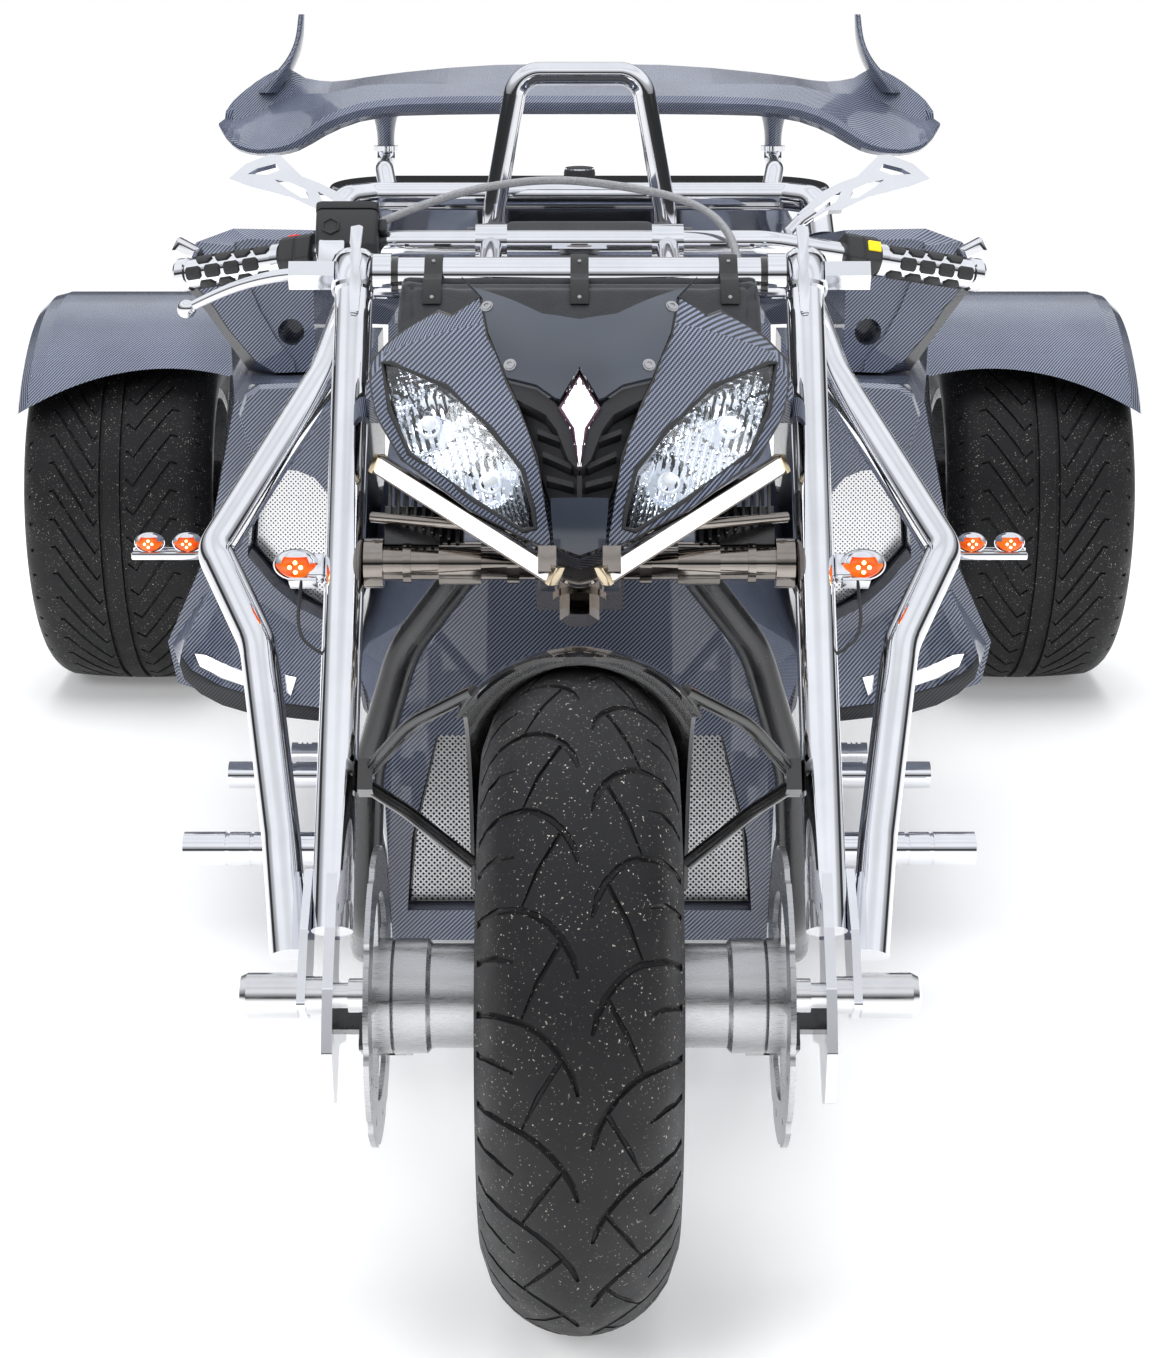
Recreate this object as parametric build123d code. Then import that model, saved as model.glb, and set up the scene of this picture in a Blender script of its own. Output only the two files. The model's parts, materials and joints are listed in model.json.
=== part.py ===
from build123d import *
import math
import os

# Three-wheeled motor vehicle: one wheel in front on a raked fork, two driven wheels behind.
# Millimetres. It faces -Y, +X is on the right of someone who faces it, and Z = 0 is the ground.
# Pieces are drawn with y counted from the front axle and moved to the overall centre on export.
# Fork pieces are drawn upright, as (across, behind the legs, along the legs), and then raked.

# ---- Overall
OVERALL_LENGTH = 3230
WHEELBASE = 2400
RAKE = 35
STEER_BEHIND = 30
SEAT = 0.3
RUNNING = 0.05
DISC_GAP = 5.5

# ---- Front wheel
FRONT_TYRE_R = 311
FRONT_TYRE_HALF = 90
FRONT_CROWN_DROP = 76
FRONT_RIM_R = 205
FRONT_RIM_HALF = 70
RIM_WALL = 9
FLANGE_RISE = 9
FLANGE_THICK = 7
SPINDLE_R = 12
HUB_R = 49
HUB_HALF = 138
HUB_END_R = 54
HUB_END_HALF = 175
WEB_HALF = 12
SPOKES = 5
DISC_X = 190
DISC_R = 141
DISC_INNER_R = 98
DISC_THICK = 5
DISC_WAVES = 10

# ---- Rear wheels
REAR_TYRE_R = 330
REAR_TYRE_X = 802
REAR_TYRE_HALF = 163
REAR_CROWN_HALF = 128
REAR_CROWN_DROP = 7
REAR_SHOULDER_DROP = 42
REAR_RIM_R = 195
REAR_RIM_HALF = 132
REAR_SPINDLE_R = 25
REAR_HUB_R = 60

# ---- Fork
LEG_X = 235
LEG_R = 20
LEG_TOP = 792
LEG_FOOT = 62
PLATE_THICK = 10
OUTER_PLATE_X = 260
OUTER_PLATE_THICK = 8
OUTER_TUBE_R = 19
YOKE_S = 441
YOKE_BAR_R = 17
STEM_R = 14
HEAD_TUBE_R = 30
HEAD_TUBE_LOW = 472
HEAD_TUBE_TOP = 632
TOP_BAR_S = 767
TOP_BAR_R = 19
TOP_BAR_END = 303
AXLE_END = 321
AXLE_CAP_R = 21.5
SPACER_R = 16
HANDLEBAR_R = 13.5
HANDLEBAR_BEND = (200, 70, 846)
HANDLEBAR_TIP = (442, 167, 861)
RISER_X = 95
MIRROR_BEHIND = 92
GRIP_R = 18
GRIP_LENGTH = 126
BAG_HALF = 190
BAG_LOW = 648
BAG_TOP = TOP_BAR_S - TOP_BAR_R - SEAT
BAG_FRONT = -36
BAG_BACK = 6

# ---- Fairing: a dome centred behind the legs
FAIRING_FRONT = -120
FAIRING_R = 340
FAIRING_BELLY_S = 600
FAIRING_WALL = 5
SCREEN_RAISE = 6
LAMP_DEPTH = 38
CHIN_WALL = 8

# ---- Front fender
FENDER_GAP = 14
FRONT_FENDER_WALL = 4
FRONT_FENDER_HALF = 113
FRONT_FENDER_DROP = 58
FRONT_FENDER_START = 2
FRONT_FENDER_ARC = 88
SCALLOP_X = 54
SCALLOP_R = 62
SCALLOP_DEPTH = 14

# ---- Chassis
BACKBONE = [(0, 372, 752), (0, 700, 668), (0, 1150, 640)]
BACKBONE_R = 24
RAIL_R = 18
RAIL_X = 250
RAIL_Z = 140
RAIL_END_Y = 2700
ARCH_Y = 425
TUB_FRONT = 500
TUB_FLOOR = 178
TUB_TOP = 600
TUB_REAR = 2290
PEDESTAL_TOP = 730
MESH_THICK = 3
MESH_RECESS = 30
PEG_R = 21
TANK_Y = 2550
TANK_LOW = 705
TANK_TOP = 894
TANK_HALF = 462
TANK_RY = 125
TANK_TILT = 4
CROSS_BAR_Y = 2385
CROSS_BAR_Z = 882
CROSS_BAR_R = 25
BACKREST_Y = 2240
BACKREST_X = 150
BACKREST_TOP = 1099
BACKREST_R = 19.5
FENDER_R = 380
FENDER_WALL = 4
FENDER_INNER_X = 575
FENDER_OUTER_X = 972
FENDER_LIP = 72
FENDER_REAR_ANGLE = 20
SHOULDER_FRONT = 1250
SHOULDER_REAR = 2400
FACE_BEVEL = 30
FACET_STEP = 6
DUCT_X = 392
DUCT_Z = 783
DUCT_R = 18
WING_FRONT = 2598
STRUT_Y = 2650
STRUT_TOP = 957
STRUT_R = 17
ENGINE_HALF = 255

FRONT_AXLE_Y = -OVERALL_LENGTH / 2 + FRONT_TYRE_R
REAR_OVERHANG = OVERALL_LENGTH - FRONT_TYRE_R - WHEELBASE
FORK = Pos(0, 0, FRONT_TYRE_R) * Rot(-RAKE, 0, 0)
REAR_HUB = Pos(0, WHEELBASE, REAR_TYRE_R)


# ---- Helpers
def flip(shape):
    """Mirror image across the middle of the vehicle."""
    return mirror(shape, Plane.YZ)


def both(*shapes):
    """The shapes and their mirror images."""
    return [*shapes, *[flip(s) for s in shapes]]


def bar(points, radius, bends=()):
    """Round bar along straight runs, each inner corner rounded by its own bend radius."""
    path = FilletPolyline(*points, radius=list(bends)) if bends else Line(*points)
    return sweep(Plane(origin=path @ 0, z_dir=path % 0) * Circle(radius), path=path)


def sheet(points, corner=0):
    """Flat closed outline, with every corner rounded alike."""
    if corner:
        return make_face(FilletPolyline(*points, radius=corner, close=True))
    return make_face(Polyline(*points, close=True))


def slab(points, y0, y1, corner=0):
    """Plate with an (x, z) outline between two y planes."""
    return extrude(Plane.XZ.offset(-y0) * sheet(points, corner), amount=y1 - y0, dir=(0, 1, 0))


def side_slab(points, x0, x1, corner=0):
    """Plate with a (y, z) outline between two x planes."""
    return extrude(Plane.YZ.offset(x0) * sheet(points, corner), amount=x1 - x0, dir=(1, 0, 0))


def across(radius, x0, x1, y=0, z=0):
    """Round bar along X."""
    return Pos((x0 + x1) / 2, y, z) * Rot(0, 90, 0) * Cylinder(radius, abs(x1 - x0))


def upright(radius, z0, z1, x=0, y=0):
    """Round bar along Z."""
    return Pos(x, y, (z0 + z1) / 2) * Cylinder(radius, z1 - z0)


def block(x0, x1, y0, y1, z0, z1):
    """Box between two corners."""
    return Pos((x0 + x1) / 2, (y0 + y1) / 2, (z0 + z1) / 2) * Box(abs(x1 - x0), abs(y1 - y0), abs(z1 - z0))


def turned(points):
    """Solid of revolution round X from an (x, radius) outline."""
    return revolve(sheet(points), Axis.X)


def section(y, points):
    """(x, z) outline in the plane at y, for a loft."""
    return Plane.XZ.offset(-y) * sheet(points)


def on_fork(*shapes):
    """Shapes drawn along the legs, leaned back by the rake."""
    return [FORK * s for s in shapes]


# ---- Wheels, drawn round the X axis
def tyre(radius, half, crown_half, crown_drop, side_r, rim_r, rim_half):
    """Tyre ring: crown arc, shoulders, sidewalls, and a step that clears each rim flange."""
    lip_r = rim_r + FLANGE_RISE + SEAT
    lip_x = rim_half + FLANGE_THICK + 3 * SEAT
    shoulder_r = radius - crown_drop
    crown = ThreePointArc((-crown_half, shoulder_r), (0, radius), (crown_half, shoulder_r))
    edges = [crown]
    for s in (1, -1):
        run = [(crown_half, shoulder_r), (half, side_r), (lip_x, lip_r), (rim_half, lip_r),
               (rim_half, rim_r)]
        run = [(s * x, r) for x, r in run]
        if half > crown_half:
            edges.append(RadiusArc(run[0], run[1], s * 1.1 * math.dist(run[0], run[1])))
        edges.append(RadiusArc(run[1], run[2], s * 1.6 * math.dist(run[1], run[2])))
        edges.append(Polyline(*run[2:]))
    edges.append(Line((-rim_half, rim_r), (rim_half, rim_r)))
    return revolve(make_face(edges), Axis.X)


def rim(rim_r, rim_half, hub_r, bore_r, web_half, web_x, windows, window_share):
    """Wheel: barrel with a flange at each side, a web with windows between its spokes, and a bored hub."""
    seat_r = rim_r - SEAT
    edge = rim_half + FLANGE_THICK
    barrel = turned([
        (-edge, seat_r + FLANGE_RISE), (-rim_half - SEAT, seat_r + FLANGE_RISE), (-rim_half - SEAT, seat_r),
        (rim_half + SEAT, seat_r), (rim_half + SEAT, seat_r + FLANGE_RISE), (edge, seat_r + FLANGE_RISE),
        (edge, seat_r - RIM_WALL), (-edge, seat_r - RIM_WALL),
    ])
    inner_r = seat_r - RIM_WALL
    web = across(inner_r + 1, web_x - web_half, web_x + web_half)
    low, high = hub_r + 12, inner_r - 8
    sweep_angle = 360 / windows * window_share
    reach = [(low, sweep_angle * 0.30), (high, sweep_angle / 2)]
    window = [(r * math.sin(math.radians(a)), r * math.cos(math.radians(a)))
              for r, a in (reach[0], reach[1], (high * 1.01, 0), (reach[1][0], -reach[1][1]),
                           (reach[0][0], -reach[0][1]))]
    cutter = side_slab(window, web_x - web_half - 1, web_x + web_half + 1, 6)
    for i in range(windows):
        web -= Rot(360 / windows * i, 0, 0) * cutter
    return barrel + web + across(hub_r, web_x - web_half - 20, web_x + web_half + 20) - across(bore_r,
                                                                                               -400, 400)


def brake_disc():
    """Disc ring with a scalloped edge and drilled holes, on a five-armed carrier bolted to the hub."""
    x0, x1 = DISC_X - DISC_THICK / 2, DISC_X + DISC_THICK / 2
    ring = across(DISC_R, x0, x1) - across(DISC_INNER_R, x0 - 1, x1 + 1)
    notch = across(16, x0 - 1, x1 + 1, DISC_R + 11, 0)
    hole = across(4, x0 - 1, x1 + 1, (DISC_R + DISC_INNER_R) / 2, 0)
    for i in range(DISC_WAVES):
        turn = 360 / DISC_WAVES * i
        ring -= Rot(turn, 0, 0) * notch
        ring -= Rot(turn + 180 / DISC_WAVES, 0, 0) * hole
    centre = across(HUB_END_R, HUB_END_HALF, x1)
    arm = block(x0, x1, -11, 11, HUB_END_R - 10, DISC_INNER_R + 4)
    for i in range(SPOKES):
        centre += Rot(360 / SPOKES * i, 0, 0) * arm
    return ring + centre - across(SPINDLE_R + RUNNING, HUB_END_HALF - 1, x1 + 1)


def front_tyre():
    side_r = FRONT_TYRE_R - FRONT_CROWN_DROP
    ring = tyre(FRONT_TYRE_R, FRONT_TYRE_HALF, FRONT_TYRE_HALF, FRONT_CROWN_DROP, side_r,
                FRONT_RIM_R, FRONT_RIM_HALF)
    return [Pos(0, 0, FRONT_TYRE_R) * ring]


def front_rim():
    """Front wheel with its long hub and both brake discs."""
    bore = SPINDLE_R + RUNNING
    wheel = rim(FRONT_RIM_R, FRONT_RIM_HALF, HUB_R, bore, WEB_HALF, 0, SPOKES, 0.72)
    hub = turned([
        (-HUB_END_HALF, bore), (-HUB_END_HALF, HUB_END_R - 3), (-HUB_END_HALF + 3, HUB_END_R),
        (-HUB_HALF - 4, HUB_END_R), (-HUB_HALF, HUB_R), (HUB_HALF, HUB_R), (HUB_HALF + 4, HUB_END_R),
        (HUB_END_HALF - 3, HUB_END_R), (HUB_END_HALF, HUB_END_R - 3), (HUB_END_HALF, bore),
    ])
    right, left = both(brake_disc())
    return [Pos(0, 0, FRONT_TYRE_R) * (wheel + hub + right + left)]


def rear_tyre():
    ring = tyre(REAR_TYRE_R, REAR_TYRE_HALF, REAR_CROWN_HALF, REAR_CROWN_DROP,
                REAR_TYRE_R - REAR_SHOULDER_DROP, REAR_RIM_R, REAR_RIM_HALF)
    return REAR_HUB * Pos(REAR_TYRE_X, 0, 0) * ring


def rear_rim():
    wheel = rim(REAR_RIM_R, REAR_RIM_HALF, REAR_HUB_R, REAR_SPINDLE_R + RUNNING, 14, 60, SPOKES, 0.66)
    hub = across(REAR_HUB_R, -40, 60) - across(REAR_SPINDLE_R + RUNNING, -60, 80)
    return REAR_HUB * Pos(REAR_TYRE_X, 0, 0) * (wheel + hub)


# ---- Fork, drawn along the legs
def fork_legs():
    """Polished leg tubes, each with a flat foot that holds the spindle and the brake caliper."""
    foot = side_slab([
        (-20, 118), (20, 118), (26, 60), (30, 22), (122, 26), (128, -16), (60, -34), (52, -92), (24, -98),
        (-16, -60), (-27, 0), (-22, 60),
    ], LEG_X - PLATE_THICK / 2, LEG_X + PLATE_THICK / 2, 5)
    leg = upright(LEG_R, LEG_FOOT, LEG_TOP, LEG_X)
    leg = chamfer(leg.edges().sort_by(Axis.Z)[-1], 3) + foot
    leg -= across(SPINDLE_R + RUNNING, LEG_X - 30, LEG_X + 30)
    return on_fork(*both(leg))


def outer_tubes():
    """Bent outer tubes: behind the legs at the top, out at mid height, on flat plates at the spindle."""
    back = LEG_R + OUTER_TUBE_R + SEAT
    foot_x = OUTER_PLATE_X + OUTER_PLATE_THICK / 2 + OUTER_TUBE_R
    tube = bar([
        (LEG_X + 6, back, 752), (LEG_X + 30, back, 672), (372, back - 2, 470), (322, back - 6, 366),
        (290, back - 12, 160), (foot_x - 6, 22, 44),
    ], OUTER_TUBE_R, (90, 24, 90, 160))
    half = OUTER_PLATE_THICK / 2
    plate = side_slab([(-24, -18), (24, -18), (44, 40), (44, 128), (8, 128), (-18, 60)],
                      OUTER_PLATE_X - half, OUTER_PLATE_X + half, 6)
    plate -= across(SPINDLE_R + RUNNING, OUTER_PLATE_X - 30, OUTER_PLATE_X + 30)
    return on_fork(*both(tube + plate))


def lower_yoke():
    """Lower cross bar with its collars, the centre plate, and the steering stem with its nut."""
    reach = LEG_X - LEG_R - SEAT
    bar_solid = across(YOKE_BAR_R, -reach, reach, 0, YOKE_S)
    for x0, x1, radius in ((60, 72, 21), (98, 140, 22), (168, 176, 20), (196, reach, 25)):
        for collar in both(across(radius, x0, x1, 0, YOKE_S)):
            bar_solid += collar
    plate = side_slab([(-24, 414), (62, 414), (62, 436), (30, 452), (-24, 452)], -44, 44, 3)
    boss = upright(28, 410, HEAD_TUBE_LOW - 8, 0, STEER_BEHIND)
    stem = upright(STEM_R, 400, TOP_BAR_S + 20, 0, STEER_BEHIND)
    nut = Pos(0, STEER_BEHIND, 391) * extrude(RegularPolygon(20, 6), amount=20)
    return on_fork(bar_solid + plate + boss + stem + nut)


def top_bar():
    """Upper cross bar, its clamp on the stem, and a hexagonal end outside each leg."""
    reach = LEG_X - LEG_R - SEAT
    middle = across(TOP_BAR_R, -reach, reach, 0, TOP_BAR_S)
    middle += side_slab([(0, TOP_BAR_S - 16), (62, TOP_BAR_S - 16), (62, TOP_BAR_S + 16),
                         (0, TOP_BAR_S + 16)],
                        -30, 30, 4)
    middle -= upright(STEM_R + RUNNING, TOP_BAR_S - 40, TOP_BAR_S + 40, 0, STEER_BEHIND)
    for ring in both(across(TOP_BAR_R + 4, 196, reach, 0, TOP_BAR_S)):
        middle += ring
    start = LEG_X + LEG_R + SEAT
    end = Pos(start, 0, TOP_BAR_S) * Rot(0, 90, 0) * extrude(RegularPolygon(17, 6),
                                                             amount=TOP_BAR_END - start)
    return on_fork(middle, *both(end))


def front_axle():
    """Spindle with its spacers and the two long polished end caps."""
    inner = DISC_X + DISC_THICK / 2 + RUNNING
    plate_in, plate_out = LEG_X - PLATE_THICK / 2, LEG_X + PLATE_THICK / 2
    outer_in = OUTER_PLATE_X - OUTER_PLATE_THICK / 2
    outer_out = OUTER_PLATE_X + OUTER_PLATE_THICK / 2
    cap_x = outer_out + 1
    spindle = across(SPINDLE_R, -cap_x, cap_x)
    for piece in both(
        across(SPACER_R, inner, LEG_X - LEG_R + 2),
        turned([(cap_x - 1, 0), (cap_x - 1, AXLE_CAP_R), (AXLE_END - 9, AXLE_CAP_R),
                (AXLE_END - 3, AXLE_CAP_R - 3), (AXLE_END, AXLE_CAP_R - 9), (AXLE_END, 0)]),
    ):
        spindle += piece
    rings = both(across(SPACER_R + 2, plate_out, outer_in) - across(SPINDLE_R + RUNNING, plate_out - 1,
                                                                    outer_in + 1))
    return on_fork(spindle, *rings)


def calipers():
    """Brake caliper bodies behind the spindle: two halves astride the disc, bolted to the leg foot."""
    x_in, x_out = DISC_X - DISC_THICK / 2 - DISC_GAP, DISC_X + DISC_THICK / 2 + DISC_GAP
    shape = [(84, -34), (150, -26), (170, -8), (170, 22), (150, 36), (92, 34)]
    body = side_slab(shape, x_in - 17, x_out + 16, 6)
    slot = across(DISC_R + DISC_GAP, x_in, x_out)
    lug = block(x_out + 10, LEG_X - PLATE_THICK / 2, 94, 116, -12, 20)
    return on_fork(*both(body - slot + lug))


def handlebar():
    """Bent bar on two risers that stand on the upper cross bar."""
    (bx, ba, bs), tip = HANDLEBAR_BEND, HANDLEBAR_TIP
    left = [(-tip[0], *tip[1:]), (-bx, ba, bs)]
    right = [(bx, ba, bs), tip]
    solid = bar(left + right, HANDLEBAR_R, (60, 60))
    for riser in both(bar([(RISER_X, 4, TOP_BAR_S + 4), (RISER_X, ba, bs)], 12)):
        solid += riser
    solid -= across(TOP_BAR_R + SEAT, -LEG_X, LEG_X, 0, TOP_BAR_S)
    for clamp in both(across(HANDLEBAR_R + 7, RISER_X - 17, RISER_X + 17, ba, bs)):
        solid += clamp
    return on_fork(solid)


def along_grip(distance):
    """Plane across the right bar end, the given distance in from its tip."""
    bend, tip = Vector(*HANDLEBAR_BEND), Vector(*HANDLEBAR_TIP)
    out = (tip - bend).normalized()
    return Plane(origin=tip - out * distance, z_dir=out)


def grip():
    """Ribbed grip with an end cap, and the switch housing inboard of it."""
    solid = along_grip(GRIP_LENGTH) * Pos(0, 0, GRIP_LENGTH / 2) * Cylinder(GRIP_R, GRIP_LENGTH)
    solid += along_grip(4) * Pos(0, 0, 5) * Cylinder(GRIP_R + 1, 10)
    switch = along_grip(GRIP_LENGTH + 42) * Pos(0, 0, 20) * Box(40, 40, 40)
    solid += fillet(switch.edges(), 7)
    return solid - along_grip(0) * Pos(0, 0, -200) * Cylinder(HANDLEBAR_R + RUNNING, 400)


def reservoir(room=0):
    """Brake reservoir box on the left bar, with some room added on every side."""
    return fillet(block(-284 - room, -216 + room, 40 - room, 100 + room, 828 - room, 880 + room).edges(), 6)


def controls():
    """Both grips with their switch housings, and on the left bar the brake reservoir and lever."""
    bar_space = flip(along_grip(0) * Pos(0, 0, -200) * Cylinder(HANDLEBAR_R + RUNNING, 400))
    pivot = block(-278, -250, 30, 60, 784, 832)
    lever = bar([(-264, 44, 792), (-300, 30, 786), (-345, 36, 778), (-419, 60, 760)], 6, (60, 120))
    lever += Pos(-419, 60, 760) * Sphere(10)
    right = grip()
    return on_fork(right, flip(right), reservoir() + pivot + lever - bar_space)


def mirrors():
    """Flame-shaped open mirror arms on short stems."""
    blade = slab([(239, 895), (257, 889), (273, 899), (288, 900), (318, 916), (366, 930), (387, 939),
                  (369, 958),
                  (343, 970), (331, 969), (306, 942), (287, 934), (269,
                                                                   924)], MIRROR_BEHIND, MIRROR_BEHIND + 8)
    for window in (
        [(366, 945), (356, 952), (336, 958), (331, 950), (344, 944)],
        [(336, 938), (319, 934), (302, 926), (296, 914), (306, 915), (323, 927)],
        [(288, 923), (276, 915), (256, 899), (262, 896), (282, 910)],
    ):
        blade -= slab(window, MIRROR_BEHIND - 1, MIRROR_BEHIND + 9)
    stem = bar([(226, 80, 862), (240, 92, 884), (256, MIRROR_BEHIND + 4, 898)], 7, (14,))
    arm = blade + stem
    arm -= along_grip(0) * Pos(0, 0, -200) * Cylinder(HANDLEBAR_R + SEAT, 400)
    return on_fork(arm, flip(arm) - reservoir(SEAT))


def bag():
    """Soft flat bag that hangs under the upper bar in front of the stem."""
    solid = fillet(block(-BAG_HALF, BAG_HALF, BAG_FRONT, BAG_BACK, BAG_LOW, BAG_TOP).edges(), 8)
    return on_fork(solid)


# ---- Fairing
def shield(points, outer, inner, corner=0):
    """Domed panel with an outline seen from ahead, between two depths of the fairing surface."""
    dome = Sphere(FAIRING_R - outer) - Sphere(FAIRING_R - inner)
    dome = Pos(0, FAIRING_FRONT + FAIRING_R, FAIRING_BELLY_S) * dome
    return slab(points, FAIRING_FRONT - 60, FAIRING_FRONT + 200, corner) & dome


# Right halves of the fairing outlines, as (across, along the legs)
CHEEK = [(71, 586), (91, 641), (100, 691), (128, 673), (142, 683), (187, 665), (209, 646), (212, 629),
         (204, 581), (176, 527), (105, 465), (42, 431), (27, 426), (42, 509), (64, 570)]
LAMP = [(199, 638), (190, 635), (131, 592), (85, 540), (54, 497), (44, 460), (42, 444), (54, 442),
        (105, 475), (169, 530), (190, 581)]
SCREEN = [(0, 650), (37, 658), (67, 678), (107, 702), (119, 720), (97, 686), (90, 641), (71, 588),
          (42, 578), (24, 564), (19, 562), (0, 596)]
GRILLE = [(0, 588), (62, 567), (40, 508), (27, 472), (0, 472)]
CHIN = [(0, 470), (28, 470), (28, 463), (25, 428), (0, 420)]
BROW = [(71, 586), (42, 576), (24, 562), (19.6, 555), (6.6, 534), (0.6, 495), (11, 506), (22, 534),
        (33, 550), (62.5, 568)]
SLATS = [(46, 562, 20, 550), (41, 535, 12, 523), (36, 513, 8, 500), (32, 490, 6, 483)]
SLAT_THICK = 5
SLAT_FRONT = 9
DIAMOND = [(0, 588), (19, 555), (6, 534), (0, 495)]


def inset(points, amount):
    """Outline moved inward by an amount."""
    return offset(sheet(points), amount=-amount, kind=Kind.INTERSECTION)


def prism(face):
    """Prism through the whole depth of the fairing."""
    return extrude(Plane.XZ.offset(60 - FAIRING_FRONT) * face, amount=260, dir=(0, 1, 0))


def fairing():
    """Two carbon cheeks round the lamp openings, and the shell that ties them together behind."""
    hole = slab(LAMP, FAIRING_FRONT - 60, FAIRING_FRONT + 200)
    lug = block(203, LEG_X - LEG_R - SEAT, -46, 8, 600, 622)
    cheek = shield(CHEEK, 0, FAIRING_WALL) - hole + lug
    chin = shield(CHIN, CHIN_WALL, LAMP_DEPTH + FAIRING_WALL)
    back = shield([(0, 575), (80, 600), (82, 560), (50, 480), (36, 420), (0, 420)], LAMP_DEPTH,
                  LAMP_DEPTH + FAIRING_WALL)
    bridge = shield([(60, 575), (82, 600), (82, 586), (72, 560), (66, 560)], FAIRING_WALL - 1,
                    LAMP_DEPTH + 1)
    half = cheek + chin + back + bridge
    seat = block(-50, 50, -24 - SEAT, 80, 404, 456)
    return on_fork(half + flip(half) - seat)


def screen():
    """Glossy nose screen, raised above the cheeks, with two horns, and the glossy chin below the grille."""
    half = shield(SCREEN, -SCREEN_RAISE, -SEAT)
    chin = shield(CHIN, -1, CHIN_WALL - SEAT)
    return on_fork(half + flip(half), chin + flip(chin))


def headlamps():
    """Almond headlamps set into the cheeks."""
    return on_fork(*both(shield(LAMP, 2, LAMP_DEPTH - SEAT) & prism(inset(LAMP, 1.2))))


def grille():
    """Open slatted centre below the screen: back plate, slats, centre post and the two brows."""
    half = shield(GRILLE, 24, LAMP_DEPTH - SEAT)
    half += shield(BROW, 1, 25) - shield([(59, 550), (80, 550), (80, 600), (59, 600)],
                                         FAIRING_WALL - 1 - SEAT, 30)
    for outer_x, outer_s, inner_x, inner_s in SLATS:
        half += shield([(outer_x, outer_s), (inner_x, inner_s), (inner_x, inner_s + SLAT_THICK),
                        (outer_x, outer_s + SLAT_THICK)], SLAT_FRONT, 25)
    half += shield([(0, 472), (2.5, 472), (2.5, 494), (0, 494)], SLAT_FRONT, 25)
    return on_fork(half + flip(half))


def lamp_strips():
    """Light bar below each headlamp and the diamond position lamp in the nose."""
    half = shield(DIAMOND, -2, 24 - SEAT)
    strip = [(204, -30, 534), (28, -100, 387)]
    light = bar(strip, 8)
    foot = block(22, 40, -100, -24 - SEAT, 400, 416) + block(22, 40, -108, -92, 388, 416)
    return on_fork(half + flip(half), *both(light + foot))


def fork_lamps():
    """Amber turn signals in hoods, on short arms from the legs."""
    lens = Pos(-280, -8, 436) * Sphere(20)
    hood = Pos(-280, 6, 436) * Rot(90, 0, 0) * Cylinder(22, 22)
    arm = across(7, -LEG_X - LEG_R - SEAT, -280, 6, 436)
    return on_fork(*both(lens + hood + arm))


def front_fender():
    """Fender arched over the tyre, its front edge scalloped, with two stays a side that meet at the legs."""
    radius = FRONT_TYRE_R + FENDER_GAP + FRONT_FENDER_WALL
    outer = ThreePointArc((-FRONT_FENDER_HALF, radius - FRONT_FENDER_DROP), (0, radius),
                          (FRONT_FENDER_HALF, radius - FRONT_FENDER_DROP))
    inner = ThreePointArc((-FRONT_FENDER_HALF + FRONT_FENDER_WALL, radius - FRONT_FENDER_DROP),
                          (0, radius - FRONT_FENDER_WALL),
                          (FRONT_FENDER_HALF - FRONT_FENDER_WALL, radius - FRONT_FENDER_DROP))
    ends = [Line(outer @ 0, inner @ 0), Line(outer @ 1, inner @ 1)]
    shell = revolve(make_face([outer, inner, *ends]), Axis.X, revolution_arc=FRONT_FENDER_ARC)
    lean = RAKE + FRONT_FENDER_START
    shell = Rot(lean, 0, 0) * shell
    front = Rot(lean + FRONT_FENDER_ARC, 0, 0)
    for x in (-SCALLOP_X, SCALLOP_X):
        shell -= front * Pos(x, radius, SCALLOP_R - SCALLOP_DEPTH) * Rot(90, 0, 0) * Cylinder(SCALLOP_R, 90)
    for stay in both(
        block(200, LEG_X - LEG_R - SEAT, -10, 14, 200, 232),
        bar([(206, 2, 222), (160, -62, 250), (98, -134, 256)], 7, (120,)),
        bar([(206, 2, 208), (170, 48, 196), (FRONT_FENDER_HALF - 4, 118, 164)], 7, (120,)),
    ):
        shell += stay
    return on_fork(shell)


def brake_hose():
    """Brake hose that arches over the upper cross bar."""
    route = [(-219, 64, 866), (-168, 67, 893), (-110, 72, 916), (-30, 76, 930), (50, 76, 920),
             (112, 58, 894), (152, 38, 856), (170, 29, 806), (173, 24.2, 752)]
    radii = []
    for a, b, c in zip(route, route[1:], route[2:]):
        turn = (Vector(*b) - Vector(*a)).get_angle(Vector(*c) - Vector(*b))
        radii.append(0.45 * min(math.dist(a, b), math.dist(b, c)) / math.tan(math.radians(turn / 2)))
    return on_fork(bar(route, 4.5, radii) - reservoir(SEAT))


# ---- Chassis
def frame():
    """Head tube, backbone, two arched down tubes that run on as floor rails, and cross tubes."""
    head = upright(HEAD_TUBE_R, HEAD_TUBE_LOW, HEAD_TUBE_TOP, 0, STEER_BEHIND)
    solid = FORK * head
    solid += bar(BACKBONE, BACKBONE_R, (300,))
    rail = bar([
        (18, 340, 710), (118, 390, 640), (190, ARCH_Y, 540), (232, ARCH_Y + 10, 400), (240, 450, 230),
        (RAIL_X, 560, RAIL_Z), (RAIL_X, RAIL_END_Y, RAIL_Z),
    ], RAIL_R, (120, 120, 120, 90, 90))
    for tube in both(rail):
        solid += tube
    for y in (700, 1300, 2050, RAIL_END_Y - 20):
        solid += across(RAIL_R - 4, -RAIL_X, RAIL_X, y, RAIL_Z)
    solid -= FORK * upright(STEM_R + RUNNING, HEAD_TUBE_LOW - 60, HEAD_TUBE_TOP + 200, 0, STEER_BEHIND)
    solid -= FORK * upright(HEAD_TUBE_R + 20, HEAD_TUBE_LOW - 120, HEAD_TUBE_LOW, 0, STEER_BEHIND)
    return [solid]


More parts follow.
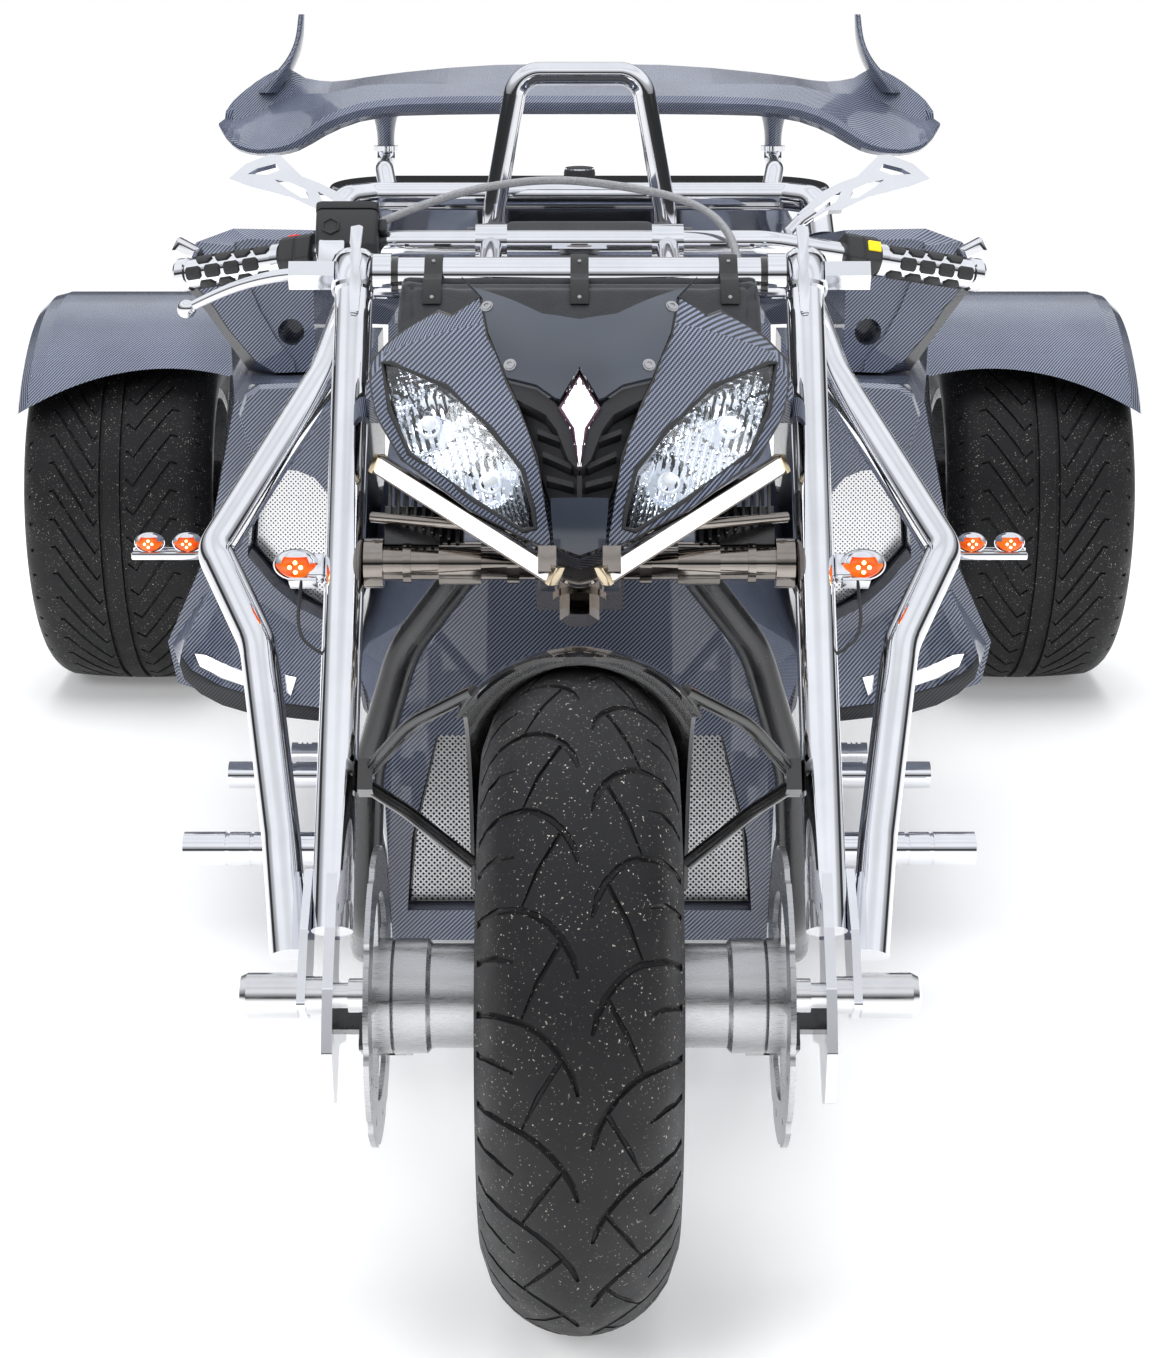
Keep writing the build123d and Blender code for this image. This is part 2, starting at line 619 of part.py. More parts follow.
def tub_section(y, floor, knee, top):
    """Closed outline from the right corners at the floor, the widest point and the top."""
    right = [floor, knee, top]
    return section(y, right + [(-x, z) for x, z in reversed(right)])


def body_tub():
    """Closed floor tub from the radiator opening back to the engine bay, with the seat pedestal."""
    floor = RAIL_Z + RAIL_R + SEAT
    stations = [
        tub_section(TUB_FRONT, (214, TUB_FLOOR), (222, 430), (122, TUB_TOP)),
        tub_section(900, (RAIL_X, floor), (285, 400), (176, 590)),
        tub_section(1300, (RAIL_X, floor), (300, 400), (270, TUB_TOP)),
        tub_section(TUB_REAR, (RAIL_X, floor), (316, 400), (316, TUB_TOP)),
    ]
    tub = loft(stations, ruled=True)
    pedestal = side_slab([(1705, 590), (1765, PEDESTAL_TOP), (TUB_REAR, PEDESTAL_TOP), (TUB_REAR, 590)],
                         -300, 300)
    tub += pedestal
    for side in both(slab(MESH_OPENING, TUB_FRONT - 1, TUB_FRONT + MESH_RECESS)):
        tub -= side
    tub -= bar(BACKBONE, BACKBONE_R + SEAT, (300,))
    return [tub]


MESH_OPENING = [(104, 214), (196, 214), (190, 300), (160, 422), (108, 422)]
POD_OPENING = [(322, 620), (344, 634), (364, 641), (398, 644), (422, 610), (430, 522), (396, 480),
               (365, 453), (322, 430)]
POD = [(300.3, 300), (424, 318), (527, 352), (538, 408), (482, 528), (440, 724), (300.3, 724)]
POD_TOP = 724
POD_FRONT = 990
POD_REAR = 1760
POD_RECESS = 70
LIP_REACH = 70
BROW_FRONT = 930


def mesh_panels():
    """Open mesh in the nose of the tub and in both side scoops."""
    nose = Plane.XZ.offset(-(TUB_FRONT + MESH_RECESS - MESH_THICK - SEAT)) * inset(MESH_OPENING, 0.5)
    scoop = Plane.XZ.offset(-(POD_FRONT + POD_RECESS - MESH_THICK - SEAT)) * inset(POD_OPENING, 0.5)
    return both(*[extrude(face, amount=MESH_THICK, dir=(0, 1, 0)) for face in (nose, scoop)])


def pod():
    """Side scoop between the tub and the rear tyre: arched brow, open front, flared lower lip."""
    rear = [(307.8, 250), (424, 250), (530, 300), (552, 420), (552, 560), (548, POD_TOP), (307.8, POD_TOP)]
    solid = loft([section(POD_FRONT, POD), section(POD_REAR, rear)], ruled=True)
    band_top = [(303, 334), (376, 344), (423, 356), (459, 367), (497, 388), (511, 408)]
    band_low = [(513, 396), (508, 376), (487, 356), (460, 341), (424, 330), (303, 316)]
    apron_top = [(303, 428), (365, 452), (396, 479), (426, 504), (446, 524), (474, 500)]
    apron_low = [(538, 408), (530, 362), (500, 344), (460, 330), (424, 318), (303, 300)]
    lip_y = POD_FRONT - LIP_REACH
    solid += loft([section(lip_y, band_top + band_low), section(POD_FRONT + 20, apron_top + apron_low)],
                  ruled=True)
    brow = [(303, 603), (313, 605), (336, 633), (356, 642), (392, 646), (418, 673), (429, 715), (420, 740),
            (402, 752), (303, 757)]
    brow_back = [(303, 640), (330, 642), (350, 645), (370, 650), (400, 655), (430, 673), (440, 700),
                 (440, POD_TOP),
                 (402, POD_TOP), (303, POD_TOP)]
    nose = [(x * 0.97 + 9, z * 0.94 + 41) for x, z in brow]
    solid -= slab(POD_OPENING, lip_y - 10, POD_FRONT + POD_RECESS)
    solid += loft([section(BROW_FRONT, nose), section(BROW_FRONT + 14, brow), section(1150, brow_back)],
                  ruled=True)
    return solid


def shoulder():
    """Faceted side panel above the scoop: bevelled rim, stepped front facet with a round duct."""
    base = POD_TOP + SEAT
    face = [(360, base + 6), (414, 728), (441, 745), (475, 787), (494, 818), (521, 850), (519, 868),
            (470, 900),
            (440, 905), (360, 902)]
    front = [(360, base), (430, base), (453, base + 3), (503, 800), (526, 832), (550, 848), (549, 868),
             (519, 902),
             (469, 920), (360, 918)]
    rear = [(360, base), (470, base), (500, base), (545, base + 4), (560, 735), (560, 750), (560, 775),
            (540, 790),
            (480, 800), (360, 800)]
    solid = loft([section(SHOULDER_FRONT - FACE_BEVEL, face), section(SHOULDER_FRONT, front),
                  section(SHOULDER_REAR, rear)], ruled=True)
    facet = [(350, 700), (384, 700), (389, 745), (413, 776), (432, 811), (451, 859), (464, 893),
             (466, 930), (350, 930)]
    solid -= slab(facet, SHOULDER_FRONT - FACE_BEVEL - 10, SHOULDER_FRONT - FACE_BEVEL + FACET_STEP)
    duct = Pos(DUCT_X, SHOULDER_FRONT, DUCT_Z) * Rot(90, 0, 0) * Cylinder(DUCT_R, 2 * FACE_BEVEL + 10)
    return solid - duct


def driver_seat():
    """Stepped seat cushion in front of the pedestal."""
    base = TUB_TOP + SEAT
    solid = side_slab([(1190, base), (1190, 672), (1300, 650), (1560, 650), (1640, 690), (1690, 800),
                       (1728, 800),
                       (1690, base)], -190, 190, 12)
    return [solid]


def passenger_seat():
    """Upper seat with its low back pad."""
    base = PEDESTAL_TOP + SEAT
    solid = side_slab([(1775, base), (1775, 790), (1860, 778), (2080, 786), (2150, 856), (2200, 860),
                       (2200, base)],
                      -200, 200, 14)
    return [solid]


def backrest_bar():
    """Polished U-shaped bar behind the upper seat."""
    leg_x, base = BACKREST_X, PEDESTAL_TOP + SEAT
    return [bar([(-leg_x, BACKREST_Y, base), (-leg_x, BACKREST_Y, 860),
                 (-105, BACKREST_Y + 20, BACKREST_TOP),
                 (105, BACKREST_Y + 20, BACKREST_TOP), (leg_x, BACKREST_Y, 860), (leg_x, BACKREST_Y, base)],
                BACKREST_R, (200, 45, 45, 200))]


def grab_rail():
    """Polished cross rail ahead of the tank, its ends bent down, with the two clamped struts of the wing."""
    solid = bar([(-425, 2300, 819), (-418, 2326, 880), (-370, CROSS_BAR_Y, CROSS_BAR_Z),
                 (370, CROSS_BAR_Y, CROSS_BAR_Z),
                 (418, 2326, 880), (425, 2300, 819)], CROSS_BAR_R, (28, 30, 30, 28))
    strut = bar([(340, CROSS_BAR_Y, CROSS_BAR_Z), (352, 2440, 925), (364, STRUT_Y, 928),
                 (364, STRUT_Y, STRUT_TOP)],
                STRUT_R, (40, 25))
    for piece in both(strut, upright(24, STRUT_TOP - 9, STRUT_TOP, 364, STRUT_Y)):
        solid += piece
    return [solid]


def tank_drum():
    """Flat-topped polished tank across the tail, rounded at both ends, with its filler cap."""
    plan = SlotOverall(2 * TANK_HALF, 2 * TANK_RY)
    height = TANK_TOP - TANK_LOW
    tank = extrude(plan, amount=height)
    tank = fillet(tank.edges().group_by(Axis.Z)[-1], 9)
    tank += extrude(offset(plan, amount=3), amount=6)
    tank += Pos(0, 0, height - 2) * Cylinder(34, 12) + Pos(0, 0, height + 4) * Cylinder(26, 52)
    tank = Pos(0, TANK_Y, TANK_LOW) * Rot(TANK_TILT, 0, 0) * tank
    for saddle in both(block(140, 180, TANK_Y - 40, TANK_Y + 40, 560 + SEAT, TANK_LOW + 20)):
        tank += saddle
    return [tank]


# Sections of the wing's right half, from the middle out: across, front rim z, bottom z,
# then (y behind the leading edge, z) of the crease and of the trailing edge
WING_SECTIONS = [
    (0, 1050, 1016, (80, 1067), (190, 1104)),
    (160, 1050, 1016, (80, 1068), (190, 1102)),
    (330, 1046, 1013, (82, 1070), (188, 1089)),
    (410, 1036, 1002, (88, 1066), (184, 1079)),
    (475, 1012, 976, (100, 1052), (180, 1071)),
    (525, 980, 949, (112, 1050), (170, 1078)),
    (560, 965, 941, (122, 1042), (160, 1098)),
    (600, 959, 940, (126, 1022), (154, 1082)),
    (635, 967, 948, (122, 1008), (146, 1058)),
    (658, 984, 968, (108, 1001), (130, 1038)),
    (671, 1001, 993, (90, 1005), (106, 1018)),
]


def wing_row(x):
    """Section values of the wing at x, on a curve through the listed rows that never overshoots them."""
    rows = [(row[0], row[1], row[2], *row[3], *row[4]) for row in WING_SECTIONS]
    at = max(i for i in range(len(rows) - 1) if rows[i][0] <= x)
    first, last = rows[at], rows[at + 1]
    span = last[0] - first[0]
    part = (x - first[0]) / span
    values = []
    for k in range(1, len(first)):
        slopes = [(b[k] - a[k]) / (b[0] - a[0]) for a, b in zip(rows, rows[1:])]
        slopes = [0, *slopes, slopes[-1]]
        ends = []
        for before, after in (slopes[at:at + 2], slopes[at + 1:at + 3]):
            ends.append(2 * before * after / (before + after) if before * after > 0 else 0)
        keep = (1 + 2 * part) * (1 - part) ** 2
        reach = span * part * (1 - part)
        values.append(keep * first[k] + (1 - keep) * last[k] + reach * ((1 - part) * ends[0] - part * ends[1]))
    return values


def wing_section(x):
    """Section of the wing: rounded nose, hollow upper side, turned-up trailing edge, underside."""
    rim_z, low_z, crease_y, crease_z, tail_y, tail_z = wing_row(x)
    high = rim_z - low_z
    thick = min(26, high * 0.75)
    points = [(20, low_z), (6, low_z + 0.25 * high), (2, low_z + 0.65 * high), (12, rim_z), (crease_y, crease_z),
              (tail_y, tail_z), (tail_y + 9, tail_z - 4), (crease_y + 0.7 * thick, crease_z - thick)]
    return Plane.YZ.offset(x) * sheet([(WING_FRONT + y, z) for y, z in points])


def wing():
    """Blade across the tail: its ends droop into open scoops and sweep up into fins; two tapered feet."""
    stations = [0, 160, 250, 330, 370, 410, 445, 475, 500, 525, 542, 560, 580, 600, 618, 635, 647, 658, 665, 670.9]
    blade = loft([wing_section(x) for x in stations], ruled=True)
    fin = loft([Plane.XY.offset(z) * Pos(x, y) * Ellipse(half_x, half_y) for z, x, y, half_x, half_y in (
        (1052, 592, 2746, 20, 34), (1090, 563, 2750, 15, 46), (1124, 542, 2755, 9.5, 42),
        (1155, 533, 2762, 7, 32), (1196, 529, 2770, 5.5, 16))])
    foot = loft([Plane.XY.offset(z) * Pos(364, STRUT_Y) * Ellipse(half_x, half_y) for z, half_x, half_y in (
        (STRUT_TOP + SEAT, 16, 24), (990, 18, 30), (1030, 30, 42))])
    half = blade + fin + foot
    return [half + flip(half)]


def rear_fender():
    """Rear fender: flat crown, rounded outer shoulder with a side wall, and an arched front edge."""
    edge, top = FENDER_OUTER_X, FENDER_R
    outside = [(FENDER_INNER_X, top), (edge - 50, top), (edge - 26, top - 6), (edge - 8, top - 22),
               (edge, top - 46),
               (edge, top - FENDER_LIP)]
    inside = [(x - FENDER_WALL, r) for x, r in outside[:2:-1]]
    inside += [(edge - 29, top - 6 - FENDER_WALL), (edge - 50, top - FENDER_WALL),
               (FENDER_INNER_X, top - FENDER_WALL)]
    shell = REAR_HUB * Rot(FENDER_REAR_ANGLE, 0, 0) * revolve(sheet(outside + inside), Axis.X,
                                                              revolution_arc=130)
    low = REAR_TYRE_R - 60
    arch = ThreePointArc((FENDER_INNER_X - 10, 585), (722, 607), (edge + 20, 515))
    mouth = make_face([arch, Polyline((edge + 20, 515), (edge + 20, low), (FENDER_INNER_X - 10, low),
                                      (FENDER_INNER_X - 10, 585))])
    shell -= extrude(Plane.XZ.offset(-(WHEELBASE - FENDER_R - 40)) * mouth, amount=FENDER_R - 20,
                     dir=(0, 1, 0))
    tab = block(560 + SEAT, FENDER_INNER_X + 2, 2350, 2395, REAR_TYRE_R + FENDER_R - 12,
                REAR_TYRE_R + FENDER_R + 50)
    return shell + tab


def rear_axle():
    """Final drive, axle tubes and spindles, on trailing arms from the floor rails, with spring units."""
    hub_in = REAR_TYRE_X - 60
    solid = across(34, -hub_in, hub_in, WHEELBASE, REAR_TYRE_R)
    solid += across(84, -70, 70, WHEELBASE, REAR_TYRE_R)
    arm = slab([(270, 260), (330, 260), (460, 306), (460, 354), (400, 354), (270, 320)], TUB_REAR + SEAT,
               WHEELBASE)
    damper = upright(30, REAR_TYRE_R + 10, 640, 440, WHEELBASE)
    for piece in both(
        across(REAR_SPINDLE_R, hub_in - 10, REAR_TYRE_X + 60, WHEELBASE, REAR_TYRE_R),
        across(70, hub_in - 90, hub_in - 60, WHEELBASE, REAR_TYRE_R),
        arm,
        damper,
    ):
        solid += piece
    return [solid]


def engine():
    """Plain block of the engine behind the final drive."""
    crank = block(-ENGINE_HALF, ENGINE_HALF, 2500, 2850, RAIL_Z + RAIL_R + SEAT, 560)
    return [fillet(crank.edges().filter_by(Axis.Z), 30)]


def exhaust():
    """Two oval silencers at the tail, with their outlet pipes."""
    y0, y1 = 2560, WHEELBASE + REAR_OVERHANG
    body = Plane.XZ.offset(-y0) * Pos(330, 300) * Ellipse(62, 48)
    can = extrude(body, amount=-(y1 - 60 - y0))
    tip = Pos(330, y1 - 40, 300) * Rot(90, 0, 0) * Cylinder(34, 80)
    bore = Pos(330, y1 - 20, 300) * Rot(90, 0, 0) * Cylinder(30, 60)
    pipe = across(20, ENGINE_HALF + SEAT, 330, 2620, 300)
    return both(can + tip - bore + pipe)


def tail_lamps():
    """Rear panel below the tank with two round lamps a side."""
    panel = slab([(-470, 600), (-200, 590), (-190, 505), (190, 505), (200, 590), (470, 600), (440, 690),
                  (-440, 690)],
                 2850 + SEAT, 2856)
    for x in (330, 410):
        for lamp in both(Pos(x, 2862, 644) * Rot(90, 0, 0) * Cylinder(26, 14)):
            panel += lamp
    return [panel]


def foot_pegs():
    """Grooved pegs each side on plates welded to the floor rails."""
    pegs = []
    plate_x = RAIL_X + RAIL_R + SEAT
    for y, z, x0, x1, radius in ((750, 204, 321, 488, PEG_R), (1000, 223, 338, 465, 18),
                                 (1250, 180, 370, 410, 15)):
        peg = across(radius, x0, x1, y, z)
        for i in range(3):
            x = x0 + (x1 - x0) * (0.3 + 0.18 * i)
            peg -= across(radius + 1, x, x + 5, y, z) - across(radius - 2, x - 1, x + 6, y, z)
        peg += across(radius * 0.55, plate_x, x0 + 1, y, z)
        peg += block(plate_x, plate_x + 8, y - 24, y + 24, RAIL_Z - 12, z + 22)
        pegs += both(peg)
    return pegs


def side_lamps():
    """Flat polished bars on the scoops with two amber signals each."""
    strip = block(498, 590, 1040, 1060, 506, 516)
    for x in (516, 566):
        strip += Pos(x, 1050, 528) * Sphere(16)
    return both(strip)


PARTS = {
    "front_tyre": front_tyre,
    "front_rim": front_rim,
    "rear_tyre_left": lambda: [flip(rear_tyre())],
    "rear_tyre_right": lambda: [rear_tyre()],
    "rear_rim_left": lambda: [flip(rear_rim())],
    "rear_rim_right": lambda: [rear_rim()],
    "fork_legs": fork_legs,
    "outer_tubes": outer_tubes,
    "lower_yoke": lower_yoke,
    "top_bar": top_bar,
    "front_axle": front_axle,
    "calipers": calipers,
    "handlebar": handlebar,
    "controls": controls,
    "mirrors": mirrors,
    "fork_bag": bag,
    "fairing": fairing,
    "screen": screen,
    "headlamps": headlamps,
    "grille": grille,
    "lamp_strips": lamp_strips,
    "fork_lamps": fork_lamps,
    "front_fender": front_fender,
    "brake_hose": brake_hose,
    "frame": frame,
    "body_tub": body_tub,
    "mesh_panels": mesh_panels,
    "pod_left": lambda: [flip(pod())],
    "pod_right": lambda: [pod()],
    "shoulder_left": lambda: [flip(shoulder())],
    "shoulder_right": lambda: [shoulder()],
    "driver_seat": driver_seat,
    "passenger_seat": passenger_seat,
    "backrest_bar": backrest_bar,
    "grab_rail": grab_rail,
    "tank_drum": tank_drum,
    "wing": wing,
    "rear_fender_left": lambda: [flip(rear_fender())],
    "rear_fender_right": lambda: [rear_fender()],
    "rear_axle": rear_axle,
    "engine": engine,
    "exhaust": exhaust,
    "tail_lamps": tail_lamps,
    "foot_pegs": foot_pegs,
    "side_lamps": side_lamps,
}


def export(name, solids):
    """Write one node, moved from the front axle to the overall centre."""
    placed = [Pos(0, FRONT_AXLE_Y, 0) * s for s in solids]
    shape = placed[0] if len(placed) == 1 else Compound(children=placed)
    export_step(shape, f"parts/{name}.step")


os.makedirs("parts", exist_ok=True)
for node, make in PARTS.items():
    export(node, make())
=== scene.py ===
import bmesh
import bpy
import json
import math
from contextlib import contextmanager
from mathutils import Matrix, Vector


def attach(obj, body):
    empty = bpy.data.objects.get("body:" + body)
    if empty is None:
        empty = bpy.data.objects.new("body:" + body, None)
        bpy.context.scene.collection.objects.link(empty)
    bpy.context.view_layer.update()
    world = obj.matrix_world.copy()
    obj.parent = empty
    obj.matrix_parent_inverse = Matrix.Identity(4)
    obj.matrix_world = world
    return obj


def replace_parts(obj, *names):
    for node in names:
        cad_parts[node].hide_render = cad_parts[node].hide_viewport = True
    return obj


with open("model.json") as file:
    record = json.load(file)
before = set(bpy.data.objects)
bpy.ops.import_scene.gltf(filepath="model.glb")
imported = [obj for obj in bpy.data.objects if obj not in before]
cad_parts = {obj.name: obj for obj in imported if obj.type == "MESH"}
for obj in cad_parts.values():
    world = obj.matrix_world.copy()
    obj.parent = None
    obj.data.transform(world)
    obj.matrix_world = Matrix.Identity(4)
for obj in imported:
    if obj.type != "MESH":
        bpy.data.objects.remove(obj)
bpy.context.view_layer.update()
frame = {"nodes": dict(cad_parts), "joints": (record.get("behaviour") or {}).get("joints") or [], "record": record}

# Metres. -Y is the way the trike faces, +X is on the right of someone who faces it.
# Fork pieces are shaped upright, as (across, behind the legs, along the legs), and then raked.
# Chassis pieces are shaped as (across, behind the front axle, above the ground), a wheel's round its hub.
HUBS = {joint["name"].removesuffix("_spin"): Vector(joint["pos_m"])
        for joint in frame["joints"] if joint["name"].endswith("_spin")}
WHEEL = HUBS["front_wheel"]
STEER_AXIS = Vector(next(j["axis"] for j in frame["joints"] if j["name"] == "steering"))
RAKE = math.atan2(STEER_AXIS.y, STEER_AXIS.z)
FORK = Matrix.Translation(WHEEL) @ Matrix.Rotation(-RAKE, 4, "X")
AXLE = Matrix.Translation((0, WHEEL.y, 0))
BODY_SPACE = {"fork": FORK, "chassis": AXLE}
BODY_SPACE.update({wheel: Matrix.Translation(hub) for wheel, hub in HUBS.items()})
BOTH_SIDES = (-1, 1)
X, Y, Z = Vector((1, 0, 0)), Vector((0, 1, 0)), Vector((0, 0, 1))


# ---------------------------------------------------------------- modelling by operators

def deselect():
    bpy.ops.object.select_all(action="DESELECT")


def alone(piece):
    """Makes one object the only one selected, and the active one."""
    deselect()
    piece.select_set(True)
    bpy.context.view_layer.objects.active = piece


def start(primitive, **where):
    """Adds a primitive at its size and place."""
    deselect()
    getattr(bpy.ops.mesh, f"primitive_{primitive}_add")(**where)
    return bpy.context.object


def box(low, high):
    """A cube primitive between two corners."""
    low, high = Vector(low), Vector(high)
    piece = start("cube", size=1, location=(low + high) / 2, scale=high - low)
    apply_place(piece)
    return piece


def rod(first, last, radius, sides=20):
    """A round bar from one point to another."""
    first, last = Vector(first), Vector(last)
    turn = (last - first).to_track_quat("Z", "Y").to_euler()
    piece = start("cone", vertices=sides, radius1=radius, radius2=radius, depth=(last - first).length,
                  location=(first + last) / 2, rotation=turn)
    apply_place(piece)
    return piece


def ball(centre, radius, scale=(1, 1, 1), rings=10):
    """A sphere, or one stretched along the axes."""
    piece = start("uv_sphere", segments=2 * rings, ring_count=rings, radius=radius, location=centre,
                  scale=scale)
    apply_place(piece)
    return piece


def apply_place(piece, place=None):
    """Puts an object's place into its mesh."""
    if place is not None:
        piece.matrix_world = place @ piece.matrix_world
    alone(piece)
    bpy.ops.object.transform_apply(location=True, rotation=True, scale=True)


@contextmanager
def editing(piece):
    """Edit mode on one piece."""
    alone(piece)
    bpy.ops.object.mode_set(mode="EDIT")
    yield
    bpy.ops.object.mode_set(mode="OBJECT")


def take_all():
    bpy.ops.mesh.select_all(action="SELECT")


def push(step):
    """Extrudes what is selected in edit mode, by a step."""
    bpy.ops.mesh.extrude_region_move(TRANSFORM_OT_translate={"value": step})


def face_outwards(merge=0.0):
    """Turns every face of the edited mesh outwards, once points closer than a distance are merged."""
    take_all()
    if merge:
        bpy.ops.mesh.remove_doubles(threshold=merge)
    bpy.ops.mesh.normals_make_consistent(inside=False)


def choose(piece, kind, test):
    """Selects the faces whose centre and normal, or the edges whose middle and direction, a test accepts."""
    bpy.ops.mesh.select_mode(type=kind)
    bpy.ops.mesh.select_all(action="DESELECT")
    mesh = bmesh.from_edit_mesh(piece.data)
    if kind == "FACE":
        for face in mesh.faces:
            face.select_set(bool(test(face.calc_center_median(), face.normal)))
    else:
        for edge in mesh.edges:
            ends = [v.co for v in edge.verts]
            edge.select_set(bool(test((ends[0] + ends[1]) / 2, (ends[1] - ends[0]).normalized())))
    mesh.select_flush_mode()
    bmesh.update_edit_mesh(piece.data)


def outline(points, plane="XZ", at=0.0):
    """A flat face whose corners are an outline's points, in one of the main planes."""
    piece = start("circle", vertices=len(points), radius=1, fill_type="NGON")
    spots = {"XZ": lambda u, v: (u, at, v),
             "YZ": lambda u, v: (at, u, v),
             "XY": lambda u, v: (u, v, at)}[plane]
    for vertex, point in zip(piece.data.vertices, points):
        vertex.co = spots(*point)
    return piece


def plate(points, plane, at, thick, bevel=0.0, segments=2):
    """An outline given a thickness, with its edges rounded."""
    piece = outline(points, plane, at)
    step = {"XZ": Y, "YZ": X, "XY": Z}[plane] * thick
    with editing(piece):
        take_all()
        push(step)
        face_outwards()
    if bevel:
        round_edges(piece, bevel, segments)
    return piece


def turned(profile, axis=X, centre=(0, 0, 0), steps=48):
    """A profile of (distance along the axis, radius) turned round the axis."""
    piece = start("circle", vertices=len(profile), radius=1, fill_type="NOTHING")
    side = Y if axis != Y else Z
    for vertex, (along, radius) in zip(piece.data.vertices, profile):
        vertex.co = Vector(centre) + axis * along + side * radius
    last = piece.data.vertices[len(profile) - 1].co
    first = piece.data.vertices[0].co
    middle = (first + last) / 2
    with editing(piece):
        choose(piece, "EDGE", lambda c, d: (c - middle).length < 1e-6)
        bpy.ops.mesh.delete(type="EDGE")
        take_all()
        bpy.ops.mesh.spin(steps=steps, angle=2 * math.pi, center=centre, axis=axis)
        face_outwards(merge=1e-5)
    return piece


def thick_line(points, radius, smooth, sides, resolution, cyclic=False):
    """A curve with thickness whose control points are the points given."""
    deselect()
    bpy.ops.curve.primitive_nurbs_path_add(location=(0, 0, 0))
    line = bpy.context.object
    line.data.splines.clear()
    spline = line.data.splines.new("NURBS" if smooth else "POLY")
    spline.points.add(len(points) - 1)
    for spot, point in zip(spline.points, points):
        spot.co = (*point, 1)
    spline.use_cyclic_u = cyclic
    if smooth:
        spline.order_u = 3
        spline.use_endpoint_u = not cyclic
    line.data.resolution_u = resolution
    line.data.bevel_depth = radius
    line.data.bevel_resolution = sides
    line.data.use_fill_caps = not cyclic
    return line


def pipe(points, radius, smooth=True, sides=6, cyclic=False, widths=None):
    """A round wire or bent bar through points, made a mesh; widths are shares of its radius."""
    line = thick_line(points, radius, smooth, sides, 8, cyclic)
    for spot, width in zip(line.data.splines[0].points, widths or []):
        spot.radius = width
    alone(line)
    bpy.ops.object.convert(target="MESH")
    piece = bpy.context.object
    apply_place(piece)
    with editing(piece):
        face_outwards(merge=1e-6)
    return piece


def modify(piece, kind, **settings):
    """Adds a modifier with its settings and applies it."""
    alone(piece)
    modifier = piece.modifiers.new(kind.title(), kind)
    for key, value in settings.items():
        setattr(modifier, key, value)
    bpy.ops.object.modifier_apply(modifier=modifier.name)
    return piece


def round_edges(piece, width, segments=2, angle=30):
    """Bevels the edges sharper than an angle."""
    return modify(piece, "BEVEL", width=width, segments=segments, limit_method="ANGLE",
                  angle_limit=math.radians(angle), harden_normals=False)


def subdivide(piece, levels):
    return modify(piece, "SUBSURF", levels=levels, render_levels=levels)


def copies(piece, places):
    """Copies of a piece, each with its own mesh, one at each place, in place of the first."""
    made = []
    for place in places:
        alone(piece)
        bpy.ops.object.duplicate(linked=False)
        copy = bpy.context.object
        apply_place(copy, place)
        made.append(copy)
    bpy.data.objects.remove(piece)
    return made


def mirrored(piece):
    """The piece and its mirror image across the middle of the trike."""
    alone(piece)
    bpy.ops.object.duplicate(linked=False)
    twin = bpy.context.object
    apply_place(twin, Matrix.Scale(-1, 4, X))
    with editing(twin):
        take_all()
        bpy.ops.mesh.flip_normals()
    return [piece, twin]


def mirrored_after(piece, place):
    """The piece at a place on the right, and its mirror image on the left."""
    apply_place(piece, place)
    return mirrored(piece)


def joined(pieces):
    """One piece made of several."""
    deselect()
    for piece in pieces:
        piece.select_set(True)
    bpy.context.view_layer.objects.active = pieces[0]
    if len(pieces) > 1:
        bpy.ops.object.join()
    return bpy.context.object


def finished(piece, name, body, finish, place=None, angle=35):
    """Names a piece, puts it in place, smooths it, gives it its finish and hangs it on its body.

    Without a place of its own, a piece is one that was shaped in its body's space.
    """
    if isinstance(piece, list):
        piece = joined(piece)
    apply_place(piece, BODY_SPACE[body] if place is None else place)
    bpy.ops.object.shade_smooth_by_angle(angle=math.radians(angle))
    piece.name = piece.data.name = name
    piece.data.materials.clear()
    piece.data.materials.append(finish)
    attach(piece, body)
    return piece


# ---------------------------------------------------------------- finishes

